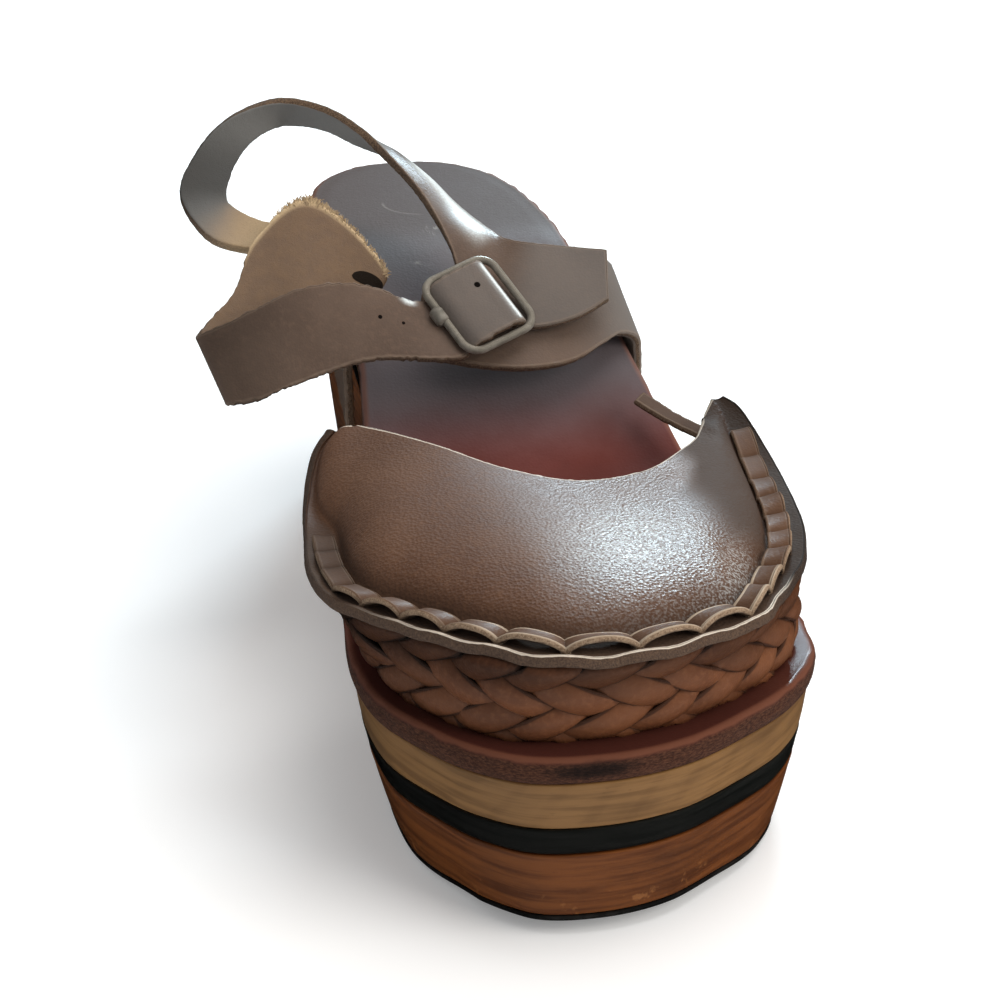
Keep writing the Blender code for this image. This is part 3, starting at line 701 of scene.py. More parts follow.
def ruggedRim(points, raw):  # the cut edge of thick leather is a little uneven
    shift = np.zeros_like(points)
    for column in np.nonzero((raw > 0.3) & (raw < 1.0))[0]:
        for row in range(points.shape[0] - 1):
            spot = Vector(points[row, column]) * 0.25
            shift[row, column] = noise.noise_vector(spot) * 0.4
        shift[-1, column] = shift[0, column]
    return shift


def woodPiece(top, bottom, levels):
    # top and bottom give a height from a station; the wall between them has soft edges
    bevel = sole["bevel"]
    slight = bevel * 0.3

    def wallRing(height):
        def inset(run):
            station = rimSpot(run, np.zeros_like(run))[..., 1]
            return wallInset(run, insoleTop(station) - height(station))
        return inset

    def between(share, drop=0.0):
        return lambda station: top(station) + (bottom(station) - top(station)) * share + drop

    def eased(height, extra):
        ring = wallRing(height)
        return lambda run: ring(run) + extra

    rings = [(share, wallRing(top), top) for share in (0.0, 0.5)]
    rings += [(1.0, eased(top, bevel), top), (1.0, eased(top, slight), between(0.0, -slight))]
    rings += [(1.0, wallRing(between(share)), between(share, drop))
              for share, drop in [(0.0, -bevel)] + [(share, 0.0) for share in levels] + [(1.0, bevel)]]
    rings += [(1.0, eased(bottom, slight), between(1.0, slight)), (1.0, eased(bottom, bevel), bottom)]
    rings += [(share, wallRing(bottom), bottom) for share in (0.66, 0.33, 0.0)]
    points = layerPoints(rings)
    mesh = newMesh(())
    addGrid(mesh, points, {}, points[..., 1:] / cm)
    return mesh


def woodLayers():
    gap = shoe["gap"]
    thirds = (0.33, 0.66)

    def treadTop(station):
        return treadHeight(station) + sole["rubber"]

    def underside(station):
        return treadTop(station) + gap

    mesh = woodPiece(below(sole["insole"] + gap), below(sole["pale"]), thirds)
    finishPiece(mesh, "pale_lamination", "upper_lamination", timbers["pale"])
    mesh = woodPiece(below(sole["pale"] + gap), below(sole["stripe"]), thirds)
    finishPiece(mesh, "black_lamination", "stripe_lamination", timbers["stripe"])
    mesh = woodPiece(below(sole["stripe"] + gap), underside, (0.15, 0.3, 0.45, 0.6, 0.75, 0.88))
    finishPiece(mesh, "wooden_base", "platform_base", timbers["base"])
    for name, (start, end) in sole["treads"].items():
        mesh = woodPiece(treadTop, treadHeight, (0.5,))
        bmesh.ops.remove_doubles(mesh, verts=mesh.verts[:], dist=weld)
        facing = (0.0, -1.0, 0.0) if start else (0.0, 1.0, 0.0)
        place = toMetres(np.array([0.0, start or end, 0.0]))
        parts = mesh.verts[:] + mesh.edges[:] + mesh.faces[:]
        bmesh.ops.bisect_plane(mesh, geom=parts, plane_co=place, plane_no=facing, clear_outer=True)
        bmesh.ops.holes_fill(mesh, edges=[edge for edge in mesh.edges if edge.is_boundary])
        finishPiece(mesh, "tread_" + name, "outsole_" + name, treadRubber)


insolePiece()
woodLayers()


# Vamp

vampSizes = {
    "ears": (110.0, 111.0), "height": 20.0, "dip": 0.4, "wall": 2.4, "crown": 4.5,
    "crownPowers": (0.45, 0.6), "flangeWay": 1.0 / 3.0, "earBulge": 1.0, "earZone": 11.0, "earFlat": 0.06,
    "calm": 12, "flangeColumn": 20, "skived": (0.35, 0.12),  # share left at the outer ear, and reach
    "edge": (  # percent of the way from the medial ear to the lateral ear, inset from the rim, width
        (0.0, -4.0, 1.0), (2.0, -6.5, 1.0), (8.0, -7.7, 2.0), (13.0, -7.6, 6.5), (19.0, -7.5, 7.5),
        (24.0, -6.0, 7.0), (28.0, -1.6, 7.0), (33.0, 2.0, 7.0), (39.0, 5.0, 7.0), (47.0, 3.0, 7.0),
        (58.0, 1.6, 7.0), (61.0, 0.4, 7.0), (65.0, 3.0, 7.5), (70.0, 4.2, 8.0), (76.0, 2.2, 8.5),
        (81.0, -0.5, 9.0), (87.0, -3.8, 9.0), (92.0, -6.4, 8.5), (96.0, -7.2, 6.8), (98.6, -6.8, 5.0),
        (100.0, -4.6, 3.0),
    ),
    "throat": (  # side, station, height from the medial ear to the lateral ear
        (-35.2, 110.0, 66.4), (-31.0, 101.0, 68.5), (-21.5, 88.0, 69.5), (-9.0, 77.5, 67.5),
        (5.0, 72.5, 65.5), (20.0, 77.0, 64.0), (33.0, 90.0, 62.5), (39.5, 98.5, 62.0), (42.8, 105.5, 62.8),
    ),
    "columns": 230, "rows": 64, "wave": 0.35,
    "creases": (  # share, way, direction across the sheet, half length, half width, depth
        (0.70, 0.95, (1.0, -0.05), 7.0, 0.8, 0.16), (0.72, 0.91, (1.0, -0.12), 8.0, 0.8, 0.20),
        (0.73, 0.87, (1.0, -0.16), 8.0, 0.9, 0.18), (0.75, 0.83, (1.0, -0.22), 7.0, 0.9, 0.16),
        (0.77, 0.60, (1.0, -0.5), 6.0, 1.1, 0.14), (0.79, 0.54, (1.0, -0.5), 6.0, 1.1, 0.14),
    ),
}
earRunMedial = medialRun(vampSizes["ears"][0]) - rimRuns[-1]
earRunLateral = lateralRun(vampSizes["ears"][1])
earSpan = earRunLateral - earRunMedial
edgePath = throughRows(vampSizes["edge"], 24)
throatPath = throughRows(vampSizes["throat"], 32)


def flangeSize(run):  # inset of the flange's edge from the rim, and the flange's width
    percent = 100.0 * (run - earRunMedial) / earSpan
    return [np.interp(percent, edgePath[:, 0], edgePath[:, column]) for column in (1, 2)]


def flangeSpot(share, way, inward=0.0):  # way runs from the flange's edge to its crease
    run = earRunMedial + earSpan * share
    inset, width = flangeSize(run)
    plan = rimSpot(run, inset + width * way + inward)
    dip = vampSizes["dip"] * np.sin(math.pi * np.clip(way + inward / width, 0.0, 1.0))
    return np.concatenate([plan, (insoleTop(plan[..., 1]) + vampSizes["height"] - dip)[..., None]], axis=-1)


def vampSurface(share, way):  # grain side: way runs from the flange edge to the throat
    sidePower, frontPower = vampSizes["crownPowers"]
    turn = vampSizes["flangeWay"]
    flange = flangeSpot(share, np.clip(way / turn, 0.0, 1.0))
    start = flangeSpot(share, np.ones_like(way))
    knots = np.arange(len(throatPath))
    throat = np.stack([np.interp(share * knots[-1], knots, column) for column in throatPath.T], axis=-1)
    climb = np.clip((way - turn) / (1.0 - turn), 0.0, 1.0)
    dome = start + (throat - start) * climb[..., None]
    crown = vampSizes["crown"] * np.sin(math.pi * np.clip(share, 0.0, 1.0)) ** sidePower
    crown = crown * soften((1.0 - share) / vampSizes["earFlat"])
    dome[..., 2] += crown * np.sin(math.pi * climb ** frontPower)
    points = np.where((way <= turn)[..., None], flange, dome)
    end = np.clip(1.0 - share * earSpan / vampSizes["earZone"], 0.0, 1.0) ** 2
    points[..., 1] += vampSizes["earBulge"] * np.sin(math.pi * way) * end
    return points


def vampCreases(share, way):  # depth of the soft troughs worn into the vamp
    depth = np.zeros_like(share)
    for centre, height, (acrossWay, upWay), length, width, deep in vampSizes["creases"]:
        side = (share - centre) * earSpan * 0.6
        up = (way - height) * 45.0
        size = math.hypot(acrossWay, upWay)
        lengthways = (side * acrossWay + up * upWay) / size
        sideways = (up * acrossWay - side * upWay) / size
        depth += deep * np.exp(-(lengthways / length) ** 2 - (sideways / width) ** 2)
    return depth


def frontness(share):  # 1 where the rim faces forward
    return np.clip(-rimOut(earRunMedial + earSpan * share)[..., 1], 0.0, 1.0)


def onFlange(way):
    return 1.0 - soften((way - vampSizes["flangeWay"] * 0.75) / 0.12)


def vampEar(share, way):  # the outer ear: made matt, and darkened with painted shade
    top = soften((way - 0.75) / 0.15)
    foot = 1.0 - soften((way - 0.38) / 0.1)
    return soften((share - 0.62 - 0.07 * top - 0.04 * foot) / 0.11) * soften((way - 0.3) / 0.1)


def vampSoil(share, way):  # the flange and the outer ear are darker and more matt
    flange = onFlange(way) * soften((share - 0.1) / 0.06)
    return np.clip(flange + 0.85 * vampEar(share, way), 0.0, 1.0)


def vampShade(share, way):  # painted shade along the crease under the lacing, at the flange's ends, at the ear tip and on the outer ear
    crease = np.exp(-((way - vampSizes["flangeWay"]) / 0.05) ** 2) * soften((share - 0.1) / 0.08)
    outer = soften((share - 0.6) / 0.1)
    inner = 1.0 - soften((share - 0.14) / 0.12)
    tip = soften((share - 0.9) / 0.1)
    crease = crease * (0.45 - 0.3 * outer)
    ends = onFlange(way) * (0.55 * outer + 0.4 * inner) + 0.25 * tip + 0.34 * vampEar(share, way)
    return np.clip(crease + ends, 0.0, 0.7)


def vampPaintedHighlight(share, way):  # painted highlight on the crown of the vamp, and a weaker one near its outer corner
    crown = np.exp(-((share - 0.54) / 0.10) ** 2 - ((way - 0.62) / 0.24) ** 2) * (1.0 - vampEar(share, way))
    corner = np.exp(-((share - 0.65) / 0.06) ** 2 - ((way - 0.38) / 0.1) ** 2)
    return 0.3 * crown + 0.2 * corner


def vampLip(share, way):  # the cut edge shows pale along the throat and at the front of the flange
    front = soften((share - 0.25) / 0.1) * (1.0 - soften((share - 0.67) / 0.03))
    return np.where(way < 0.3, front, 0.9)


def vampPiece():
    share, way = np.meshgrid(edgeSteps(earSpan, vampSizes["columns"]),
                             edgeSteps(55.0, vampSizes["rows"]), indexing="ij")
    points = vampSurface(share, way)
    phase = np.interp(share, thongTrial, thongCount) / thongCount[-1] * thongArches
    wave = vampSizes["wave"] * (0.15 + 0.85 * frontness(share))
    points[..., 2] += wave * np.cos(2 * math.pi * phase) * soften(1.0 - way / 0.15)
    normal = calmed(sheetNormals(points), vampSizes["calm"])
    onFlat = vampSizes["flangeColumn"]
    if normal[len(normal) // 2, onFlat, 2] < 0.0:
        normal = -normal
    least, skivedTo = vampSizes["skived"]
    wall = vampSizes["wall"] * (least + (1.0 - least) * soften((1.0 - share) / skivedTo))
    middle = points - normal * (wall / 2 + vampCreases(share, way))[..., None]
    mesh = newMesh(leatherMarks)
    addLeather(mesh, middle, wall, grainUp=facesUp(middle, onFlat), fray=0.06 + 0.12 * frontness(share),
               roundness=vampSizes["wall"] / 2, calm=vampSizes["calm"],
               soil=vampSoil(share, way), shade=vampShade(share, way), polish=vampPaintedHighlight(share, way),
               lip=vampLip(share, way))
    finishPiece(mesh, "vamp_leather", "vamp", hides["vamp"])


# Lacing thong along the flange

thong = {"pitch": (9.6, 13.2), "span": (0.13, 0.96), "margin": 0.5, "width": 5.0, "wall": 1.2,
         "lift": 1.5, "clear": 0.6, "sink": 1.6, "tilt": 1.5, "overlap": 0.06}
thongTrial = np.linspace(*thong["span"], 600)
thongSteps = np.linalg.norm(np.diff(flangeSpot(thongTrial, 0.5), axis=0), axis=1)
thongPitches = np.interp(frontness(thongTrial[1:]) ** 2, (0.0, 1.0), thong["pitch"])
thongCount = np.concatenate([[0.0], np.cumsum(thongSteps / thongPitches)])
thongArches = round(thongCount[-1])


def thongPiece():
    dice = random.Random(4)
    mesh = newMesh(leatherMarks)
    for arch in range(thongArches):
        lean = dice.uniform(0.7, 1.3)
        high = dice.uniform(0.85, 1.15)
        way, across = np.meshgrid(edgeSteps(10.0, 14, (0.0, 0.2, 0.5)), edgeSteps(thong["width"], 7),
                                  indexing="ij")
        step = arch + way * (1.0 + 2 * thong["overlap"]) - thong["overlap"]
        share = np.interp(step / thongArches * thongCount[-1], thongCount, thongTrial)
        points = flangeSpot(share, 1.0, -thong["margin"] - thong["width"] * (1.0 - across))
        bow = np.sin(math.pi * way) ** 0.7
        free = 0.25 + 0.75 * soften((share - 0.2) / 0.1)  # it lies flat at both ends
        free = free * (1.0 - 0.6 * soften((share - 0.84) / 0.08))
        points[..., 2] += thong["clear"] - thong["sink"] * (1.0 - bow) ** 2 * free
        points[..., 2] += thong["lift"] * high * bow * free
        points[..., 2] += thong["tilt"] * lean * bow * (0.5 - across) * free
        points[..., 2] -= 1.3 * (1.0 - soften((share - thong["span"][0]) / 0.06))
        # painted shade where each arch dips into the vamp and on the flat arches of the inner side
        addLeather(mesh, points, thong["wall"], grainUp=facesUp(points, points.shape[1] // 2),
                   square=3.5, seed=arch * 1.7,
                   soil=0.5 * (1.0 - bow) ** 2 + 0.8 * (1.0 - free),
                   shade=0.5 * (1.0 - bow) ** 2 + 0.42 * (1.0 - free) * (1.0 - soften((share - 0.5) / 0.1)),
                   lip=0.1 + 0.9 * soften((frontness(share) - 0.4) / 0.3))
    finishPiece(mesh, "vamp_lacing", "vamp_thong", hides["thong"])


vampPiece()
thongPiece()


# Braided toe wall

braid = {"pads": 18, "rowHeight": 6.0, "rows": (-0.45, 3.3), "sink": 0.14, "middle": 1.5, "start": 0.03,
         "footFront": 9.0, "footSide": 6.3, "footGap": 0.3, "head": 4.0, "headRange": (-1.5, 6.5),
         "headGap": 3.4, "height": 16.5, "wall": 1.4, "cover": 1.14, "shrink": 0.9, "weave": 1.5,
         "tuck": 2.5, "bulge": 0.95, "ends": (0.012, 0.968)}


def braidSpot(share, level, out):  # a place on the toe wall: level runs from the insole to the flange
    run = earRunMedial + earSpan * share
    foot = braid["footSide"] + (braid["footFront"] - braid["footSide"]) * frontness(share) ** 2
    head = np.clip(flangeSize(run)[0] + braid["head"], *braid["headRange"])
    plan = rimSpot(run, foot + (head - foot) * level - out)
    low = insoleTop(rimSpot(run, foot)[..., 1]) + braid["footGap"]
    high = insoleTop(rimSpot(run, head)[..., 1]) + vampSizes["height"] - braid["headGap"]
    return np.concatenate([plan, (low + (high - low) * level)[..., None]], axis=-1)


def braidStrands():
    # strips of both leans step one pitch sideways for each row, over two crossings and under two
    pitch = (1.0 - 2 * braid["start"]) / braid["pads"]
    step = pitch * earSpan * braid["shrink"]
    rise = braid["rowHeight"]
    slant = math.hypot(step, rise)
    half = braid["cover"] * step * rise / slant / 2
    dice = random.Random(11)
    mesh = newMesh(leatherMarks)
    for lean in (1.0, -1.0):
        for strand in range(-4, braid["pads"] + 5):
            wide = half * dice.uniform(0.88, 1.08)
            worn = dice.uniform(0.0, 0.22)
            limits = sorted(((end - braid["start"]) / pitch - strand) * lean for end in braid["ends"])
            low = max(braid["rows"][0], limits[0])
            high = min(braid["rows"][1], limits[1])
            if high - low < 0.6:
                continue
            along, side = np.meshgrid(edgeSteps(26.0, 34, (0.0, 0.3, 0.8)),
                                      edgeSteps(2 * half, 7) * 2.0 - 1.0, indexing="ij")
            centre = low + (high - low) * along
            row = centre + side * wide * step / slant / rise
            spot = strand + lean * centre - lean * side * wide * rise / slant / step
            spot = spot + dice.uniform(-0.06, 0.06)
            over = lean * np.cos(math.pi / 2 * (row + lean * (spot - strand) - braid["middle"]))
            level = (row - braid["sink"]) * rise / braid["height"]
            hidden = soften(-level / 0.1) + soften((level - 1.0) / 0.1)
            out = braid["weave"] * over + braid["bulge"] * (1.0 - side ** 2) - braid["tuck"] * hidden
            out = out + dice.uniform(-0.15, 0.15)
            share = braid["start"] + spot * pitch
            points = braidSpot(share, np.clip(level, 0.0, 1.05), out)
            # painted shade: darker towards the flange above, on the inner side, at each strip's edges and
            # where a strip runs under; worn adds a random darkening per strip
            shade = worn + 0.4 * soften((level - 0.5) / 0.4) + 0.3 * (1.0 - soften((share - 0.2) / 0.2))
            shade = shade + 0.5 * side ** 6 + 0.4 * soften((0.35 - over) / 0.8)
            addLeather(mesh, points, braid["wall"], grainUp=outwards(points), square=2.6,
                       seed=strand * 1.3 + lean * 40.0, roundness=1.1, shade=np.clip(shade, 0.0, 0.9))
    finishPiece(mesh, "toe_braid_strips", "toe_braid", hides["braid"])


def outwards(points):  # does the sheet's own normal point away from the middle of the toe
    normal = sheetNormals(points)
    row, column = normal.shape[0] // 2, normal.shape[1] // 2
    away = points[row, column] - np.array([0.0, 70.0, points[row, column, 2]])
    return float(normal[row, column] @ away) > 0.0


braidStrands()


# Buckle sizes

buckle = {"centre": (-2.0, 139.6, 80.6), "along": (15.5, 6.5, 3.6), "across": (-11.2, 13.5, 11.2),
          "length": 19.2, "width": 21.4, "wire": 1.9, "corner": 4.0, "lift": 1.6, "prong": 1.6,
          "prongEnds": (-0.5, 0.25), "gap": 0.3,
          "knob": (-10.2, 1.6, 1.7, 4.6),  # along, across, radius, length of the hinge
          "leatherHalf": 9.5, "leather": (  # along and height of the strap's end folded inside the frame
              (-9.0, -2.3), (-7.9, -1.2), (-6.4, 0.5), (-3.0, 1.4), (1.8, 1.7), (4.6, 1.6), (6.2, 0.1),
              (6.6, -1.9), (7.8, -3.2))}


def buckleAxes():
    along = np.array(buckle["along"]) / np.linalg.norm(buckle["along"])
    across = np.array(buckle["across"])
    across = across - along * across.dot(along)
    across /= np.linalg.norm(across)
    return along, across, np.cross(along, across)


# Straps, one row for each section or fold: front edge side, station, height, then rear edge;
# grain gives a share of the way along and the direction that the grain side faces there

straps = {
    "wall": 2.2,
    "medial_quarter": {
        "piece": "inner_quarter", "columns": 200, "across": 18, "grain": (0.9, 0.0, -0.8, 0.6), "fray": 0.5,
        "holes": ((11.2, 0.57, 0.5), (11.6, 0.55, 0.4), (17.9, 0.68, 0.75)), "fibres": (2.05, 4.6, 900),
        "slot": (2.62, 0.60, 1.98, 0.84, 0.075),  # knot and share across at both ends, half width
        "rows": (
            (-31.0, 150.0, 48.0, -31.2, 172.0, 60.0), (-31.2, 150.0, 64.0, -31.4, 172.0, 76.0),
            (-32.0, 147.0, 72.0, -20.5, 159.0, 83.5), (-37.0, 143.0, 74.5, -30.0, 170.0, 95.0),
            (-43.0, 139.0, 74.0, -37.0, 173.0, 98.5), (-49.5, 135.0, 72.0, -49.6, 166.0, 92.6),
            (-55.0, 131.0, 69.5, -58.0, 151.0, 83.5), (-60.0, 127.8, 67.0, -65.0, 142.0, 80.5),
            (-61.5, 125.5, 67.0, -66.8, 138.0, 79.8), (-58.0, 124.6, 67.5, -62.0, 136.5, 82.0),
            (-45.5, 128.0, 70.0, -44.0, 140.5, 88.0), (-28.0, 130.0, 73.4, -28.4, 142.0, 87.3),
            (-13.0, 129.2, 72.4, -17.0, 141.2, 82.6), (-8.5, 129.2, 72.2, -14.5, 141.6, 82.4),
        ),
    },
    "lateral_quarter": {
        "piece": "outer_quarter", "columns": 80, "across": 16, "grain": (0.7, 0.0, -0.6, 0.8), "fray": 0.2,
        "holes": (), "fibres": None,
        "rows": (
            (38.8, 147.0, 48.0, 36.0, 165.0, 58.0), (39.0, 147.0, 63.0, 36.2, 165.0, 74.0),
            (38.0, 146.0, 67.5, 35.5, 163.0, 80.0), (34.0, 144.5, 69.5, 32.5, 160.0, 83.5),
            (28.5, 139.5, 69.5, 27.0, 156.0, 84.0), (20.0, 133.5, 68.0, 19.0, 153.0, 83.0),
            (8.4, 130.5, 68.0, 8.0, 150.0, 81.5), (-3.5, 132.0, 69.0, -3.0, 146.0, 78.0),
            (-12.0, 135.0, 70.3, -11.5, 147.0, 77.5),
        ),
    },
    "ankle_strap": {
        "piece": "ankle_loop", "columns": 220, "across": 12, "grain": (1.0, 0.0, -0.5, 0.9), "fray": 0.12,
        "holes": (), "fibres": None, "bow": 1.3,
        "rows": (
            (-42.0, 163.5, 87.0, -39.0, 173.0, 92.5), (-50.0, 167.0, 88.5, -47.5, 179.0, 92.0),
            (-60.0, 169.0, 91.5, -54.0, 181.0, 95.5), (-66.0, 182.0, 99.0, -54.7, 183.0, 99.0),
            (-60.5, 191.0, 107.5, -51.0, 192.5, 103.5), (-49.0, 201.5, 113.5, -43.0, 204.0, 107.0),
            (-38.0, 205.0, 115.0, -35.5, 210.0, 107.5), (-27.5, 201.0, 113.0, -27.0, 208.0, 106.5),
            (-20.5, 193.5, 109.5, -20.0, 202.5, 104.0), (-15.5, 184.5, 105.0, -12.5, 195.0, 102.0),
            (-10.5, 174.0, 100.0, -5.5, 184.5, 98.5), (-7.0, 164.5, 94.5, 0.5, 174.0, 93.5),
            (-5.0, 156.0, 89.5, 6.5, 162.5, 90.5), (-2.5, 144.0, 79.5, 10.0, 157.5, 90.2),
            (8.0, 136.5, 76.0, 15.2, 154.0, 90.2), (20.0, 136.5, 77.0, 22.6, 153.0, 89.2),
            (29.6, 140.0, 80.0, 31.9, 151.0, 88.3),
        ),
    },
}


rowSamples = 24


def strapPath(rows):  # both edges along the strap, and the length along its middle
    path = throughRows(rows, rowSamples)
    middle = (path[:, :3] + path[:, 3:]) / 2
    return path, np.concatenate([[0.0], np.cumsum(np.linalg.norm(np.diff(middle, axis=0), axis=1))])


def strapPoints(rows, along, across):
    path, length = strapPath(rows)
    edges = np.stack([np.interp(along * length[-1], length, path[:, axis]) for axis in range(6)], axis=-1)
    return edges[..., :3] + (edges[..., 3:] - edges[..., :3]) * across[..., None]


def knotShare(rows, knot):  # share of the way along at a row, or between two rows
    length = strapPath(rows)[1]
    return np.interp(np.asarray(knot) * rowSamples, np.arange(len(length)), length / length[-1])


def plainMarks(like, **values):  # flesh side all over
    zeros = np.zeros_like(like)
    marks = dict.fromkeys(leatherMarks, zeros) | {"flesh": zeros + 1.0}
    return marks | {name: zeros + value for name, value in values.items()}


def buckledEnd():  # rows of the inner strap's end inside the buckle
    along, across, normal = buckleAxes()
    centre = np.array(buckle["centre"]) + normal * buckle["lift"]
    rows = []
    for reach, height in buckle["leather"]:
        middle = centre + along * reach + normal * height
        rows.append((*(middle - across * buckle["leatherHalf"]), *(middle + across * buckle["leatherHalf"])))
    return tuple(rows)


def addHole(mesh, rows, knot, across, size, sign):  # a punched hole as a dark disc of painted shade
    share = knotShare(rows, knot)
    step = np.array([[share - 0.004, share - 0.004], [share + 0.004, share + 0.004]])
    patch = strapPoints(rows, step, np.array([[across - 0.1, across + 0.1], [across - 0.1, across + 0.1]]))
    lengthways = patch[1, 0] - patch[0, 0]
    lengthways /= np.linalg.norm(lengthways)
    normal = np.cross(lengthways, patch[0, 1] - patch[0, 0])
    normal *= sign / np.linalg.norm(normal)
    sideways = np.cross(normal, lengthways)
    centre = patch.mean(axis=(0, 1)) + normal * (straps["wall"] / 2 + 0.04)
    turns = np.linspace(0.0, 2 * math.pi, 15)
    turn, radius = np.meshgrid(turns, np.array([0.0, 0.6, 1.0]) * size, indexing="ij")
    points = centre + (np.cos(turn) * radius)[..., None] * lengthways
    points = points + (np.sin(turn) * radius)[..., None] * sideways
    points[-1] = points[0]
    addGrid(mesh, points, plainMarks(turn, shade=1.0))


def addSlot(mesh, rows, firstKnot, firstAcross, lastKnot, lastAcross, half, sign):  # the shadowed gap where the tab meets the band, as a dark pointed slit of painted shade
    step, side = np.meshgrid(np.linspace(0.0, 1.0, 21), np.linspace(-1.0, 1.0, 5), indexing="ij")
    along = knotShare(rows, firstKnot + (lastKnot - firstKnot) * step)
    across = firstAcross + (lastAcross - firstAcross) * step + side * half * np.sqrt(np.sin(math.pi * step))
    ahead = strapPoints(rows, along + 0.002, across) - strapPoints(rows, along - 0.002, across)
    aside = strapPoints(rows, along, across + 0.02) - strapPoints(rows, along, across - 0.02)
    normal = np.cross(ahead, aside)
    normal *= sign / np.linalg.norm(normal, axis=2)[..., None]
    points = strapPoints(rows, along, across) + normal * (straps["wall"] / 2 + 0.06)
    addGrid(mesh, points, plainMarks(step, shade=0.95))


def addFibres(mesh, rows, first, last, count, sign):  # loose fibres along the torn rear edge
    dice = random.Random(7)
    sideways = np.array([1.0, 0.9, 1.0])
    for share in knotShare(rows, [dice.uniform(first, last) for _ in range(count)]):
        edge, inside, ahead = strapPoints(rows, np.array([share, share, share + 0.003]), sideways)
        outward = (edge - inside) / np.linalg.norm(edge - inside)
        lengthways = (ahead - edge) / np.linalg.norm(ahead - edge)
        normal = np.cross(lengthways, outward)
        root = edge - outward * dice.uniform(0.2, 2.2) + normal * sign * dice.uniform(0.4, 1.15)
        bend = lengthways * dice.uniform(-0.9, 0.9) + normal * sign * dice.uniform(0.0, 0.5) + outward * 0.8
        reach = dice.uniform(0.8, 2.2)
        spine = [root, root + bend * reach * 0.6, root + bend * reach + lengthways * dice.uniform(-0.3, 0.3)]
        width = np.array([0.2, 0.16, 0.04])[:, None, None] * np.array([-1.0, 1.0])[None, :, None]
        points = np.array(spine)[:, None, :] + lengthways * width
        addGrid(mesh, points, plainMarks(points[..., 0], pale=dice.uniform(0.3, 1.0)))


def strapWearAndPaintedLight(node, rows, along, across):  # grey soil, pale torn places, painted shade and painted highlights
    none = 0.0 * along
    if node == "lateral_quarter":  # its foot has gone grey
        return 0.5 * (1.0 - soften((along - 0.3) / 0.3)), none, none, none
    if node == "ankle_strap":  # the inside of the loop has gone grey, but for its pale end
        soil = 0.95 * soften((along - 0.07) / 0.08) * (1.0 - soften((along - 0.52) / 0.06))
        soil = soil + 0.4 * soften((along - 0.84) / 0.06)
        # painted shade down the loop's left side
        shade = 0.62 * soften((along - 0.10) / 0.08) * (1.0 - soften((along - 0.2) / 0.2))
        pale = 0.7 * (1.0 - soften((along - 0.04) / 0.10))
        # a painted highlight streak along the strap after its twist
        streak = soften((along - 0.56) / 0.07) * (1.0 - soften((along - 0.75) / 0.06))
        return soil, pale, shade, 0.8 * streak * np.exp(-((across - 0.66) / 0.28) ** 2)
    first, last = knotShare(rows, (2.0, 5.0))  # the tab's torn edge
    torn = soften((along - first) / 0.01) * (1.0 - soften((along - last) / 0.05))
    pale = torn * soften((across - 0.93) / 0.06)
    # painted shade on the band past its bend
    bend = knotShare(rows, 8.0)
    shade = 0.4 * soften((along - bend) / 0.01) * (1.0 - soften((along - bend - 0.05) / 0.12))
    inBuckle = 0.4 * soften((along - knotShare(rows, 13.5)) / 0.02)
    # painted highlights on the fold ridge inside the buckle and on the band's upper edge
    fold = np.exp(-((along - knotShare(rows, 19.3)) / 0.004) ** 2)
    fold = fold * soften(np.minimum(across, 1.0 - across) / 0.1)
    rubAndSheen = np.exp(-((along - knotShare(rows, 11.85)) / 0.014) ** 2) * soften((across - 0.84) / 0.12)
    return inBuckle, pale, shade, 0.9 * np.maximum(fold, rubAndSheen)


def strapPieces():
    for node in ("medial_quarter", "lateral_quarter", "ankle_strap"):
        strap = straps[node]
        rows = strap["rows"]
        if node == "medial_quarter":
            rows = rows + buckledEnd()
        along, across = np.meshgrid(edgeSteps(120.0, strap["columns"]), edgeSteps(16.0, strap["across"]),
                                    indexing="ij")
        points = strapPoints(rows, along, across)
        share, *facing = strap["grain"]
        column = round(share * (len(points) - 1))
        facingUp = float(sheetNormals(points)[column, points.shape[1] // 2] @ np.array(facing))
        sign = math.copysign(1.0, facingUp)
        mesh = newMesh(leatherMarks)
        if node == "ankle_strap":  # the strap bows across its width after the twist
            bow = strap["bow"] * soften((along - 0.5) / 0.08) * (1.0 - soften((along - 0.76) / 0.08))
            bow = sign * bow * 4 * across * (1.0 - across)
            points = points + sheetNormals(points) * bow[..., None]
        soil, pale, shade, polish = strapWearAndPaintedLight(node, rows, along, across)
        addLeather(mesh, points, straps["wall"], grainUp=facingUp > 0.0, fray=strap["fray"],
                   soil=soil, pale=pale, shade=shade, polish=polish)
        for knot, place, radius in strap["holes"]:
            addHole(mesh, rows, knot, place, radius, sign)
        if strap["fibres"]:
            addFibres(mesh, rows, *strap["fibres"], -sign)
            addSlot(mesh, rows, *strap["slot"], -sign)
        finishPiece(mesh, strap["piece"], node, hides["strap"])


tail = {"wall": 1.4, "rows": (
    (47.2, 111.8, 56.4, 44.8, 108.4, 55.9), (40.5, 120.0, 58.3, 37.8, 116.0, 57.9),
    (35.5, 129.0, 60.3, 32.2, 125.3, 59.8),
)}


def thongTail():
    along, across = np.meshgrid(edgeSteps(17.0, 24), edgeSteps(4.0, 8), indexing="ij")
    mesh = newMesh(leatherMarks)
    # the tail gets a little painted shade
    addLeather(mesh, strapPoints(tail["rows"], along, across), tail["wall"], fray=0.2, square=3.0, soil=0.9,
               shade=0.2, lip=0.2)
    finishPiece(mesh, "thong_end", "thong_tail", hides["thong"])


strapPieces()
thongTail()


# Buckle

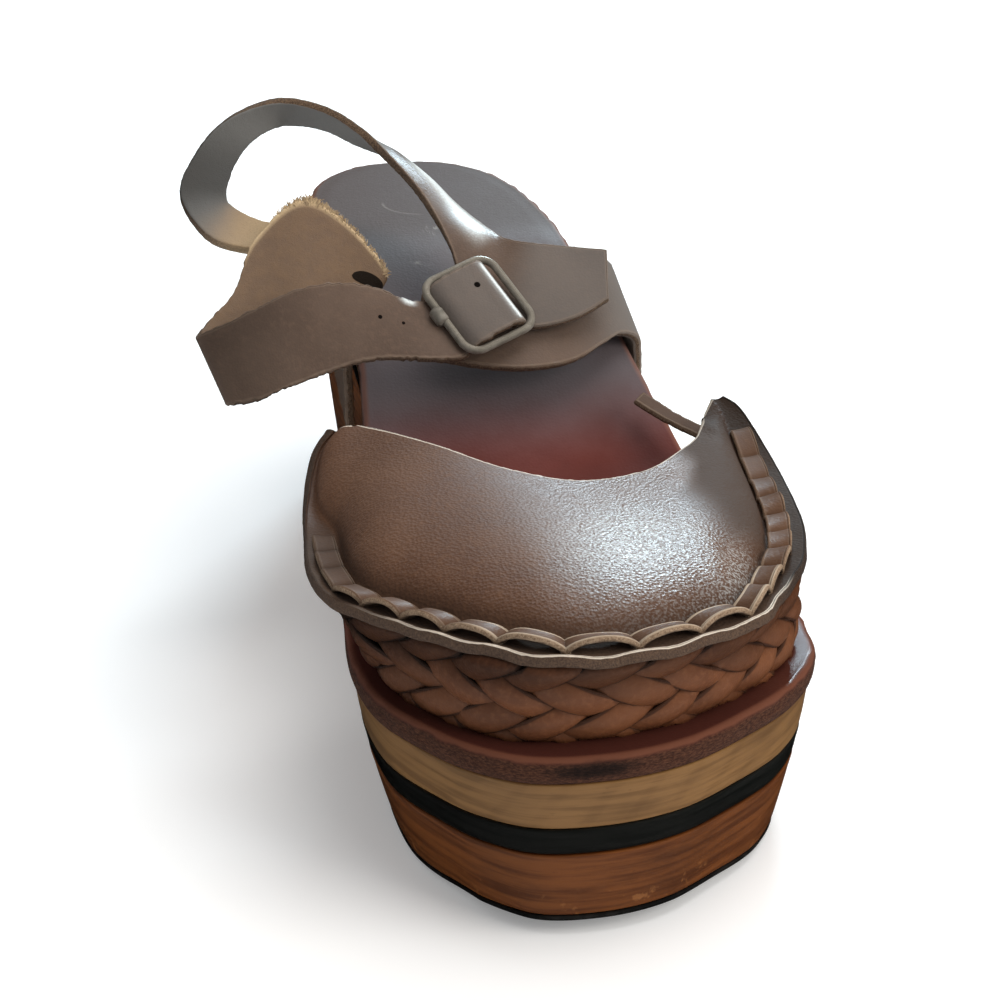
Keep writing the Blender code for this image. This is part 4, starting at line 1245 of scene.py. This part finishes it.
def addRod(mesh, path, radii, closed=False, rubAndSheenShare=1.0):  # a rod round a path, with its ends drawn in
    step = np.gradient(path, axis=0)
    if closed:
        step = np.roll(path, -1, axis=0) - np.roll(path, 1, axis=0)
        path = np.vstack([path, path[:1]])
        step = np.vstack([step, step[:1]])
        radii = np.append(radii, radii[0])
    step /= np.linalg.norm(step, axis=1)[:, None]
    normal = buckleAxes()[2]
    side = np.cross(step, normal)
    side /= np.linalg.norm(side, axis=1)[:, None]
    turn = np.linspace(0.0, 2 * math.pi, 15)
    ring = np.cos(turn)[None, :, None] * side[:, None, :] + np.sin(turn)[None, :, None] * normal
    points = path[:, None, :] + ring * radii[:, None, None]
    points[:, -1] = points[:, 0]
    # the upper half of each rod is marked for rubbing and a painted highlight
    rubAndSheen = np.tile(np.clip(np.sin(turn), 0.0, 1.0), (len(path), 1))
    addGrid(mesh, points, {"rubAndSheen": rubAndSheen * rubAndSheenShare})


def bucklePieces():
    along, across, normal = buckleAxes()
    centre = np.array(buckle["centre"]) + normal * buckle["lift"]
    reach = buckle["length"] / 2 - buckle["corner"]
    spread = buckle["width"] / 2 - buckle["corner"]
    path = []
    for corner, (signAlong, signAcross) in enumerate(((1, 1), (-1, 1), (-1, -1), (1, -1))):
        for turn in np.linspace(0.0, math.pi / 2, 12) + corner * math.pi / 2:
            path.append(centre + along * (signAlong * reach + buckle["corner"] * math.cos(turn))
                        + across * (signAcross * spread + buckle["corner"] * math.sin(turn)))
    mesh = newMesh(("rubAndSheen",))
    addRod(mesh, np.array(path), np.full(len(path), buckle["wire"] / 2), closed=True)
    finishPiece(mesh, "buckle_ring", "buckle_frame", buckleBronze)

    under = (buckle["wire"] + buckle["prong"]) / 2 + buckle["gap"]
    share = np.linspace(0.0, 1.0, 24)
    start, end = buckle["prongEnds"]
    path = centre + along * ((start + (end - start) * share) * buckle["length"])[:, None] - normal * under
    fromMiddle = 2.0 * np.clip(share, 0.02, 0.98) - 1.0
    radii = buckle["prong"] / 2 * np.sqrt(np.clip(1.0 - fromMiddle ** 16, 0.0, 1.0))
    radii[[0, -1]] = 0.0
    mesh = newMesh(("rubAndSheen",))
    addRod(mesh, path, radii)
    knobAlong, knobAcross, knobRadius, knobLength = buckle["knob"]
    path = centre + along * knobAlong + across * (knobAcross + knobLength * (share - 0.5))[:, None]
    radii = knobRadius * (1.0 - (2.0 * share - 1.0) ** 6) ** 0.5
    addRod(mesh, path, radii, rubAndSheenShare=0.5)
    finishPiece(mesh, "buckle_tongue", "buckle_prong", buckleBronze)


bucklePieces()
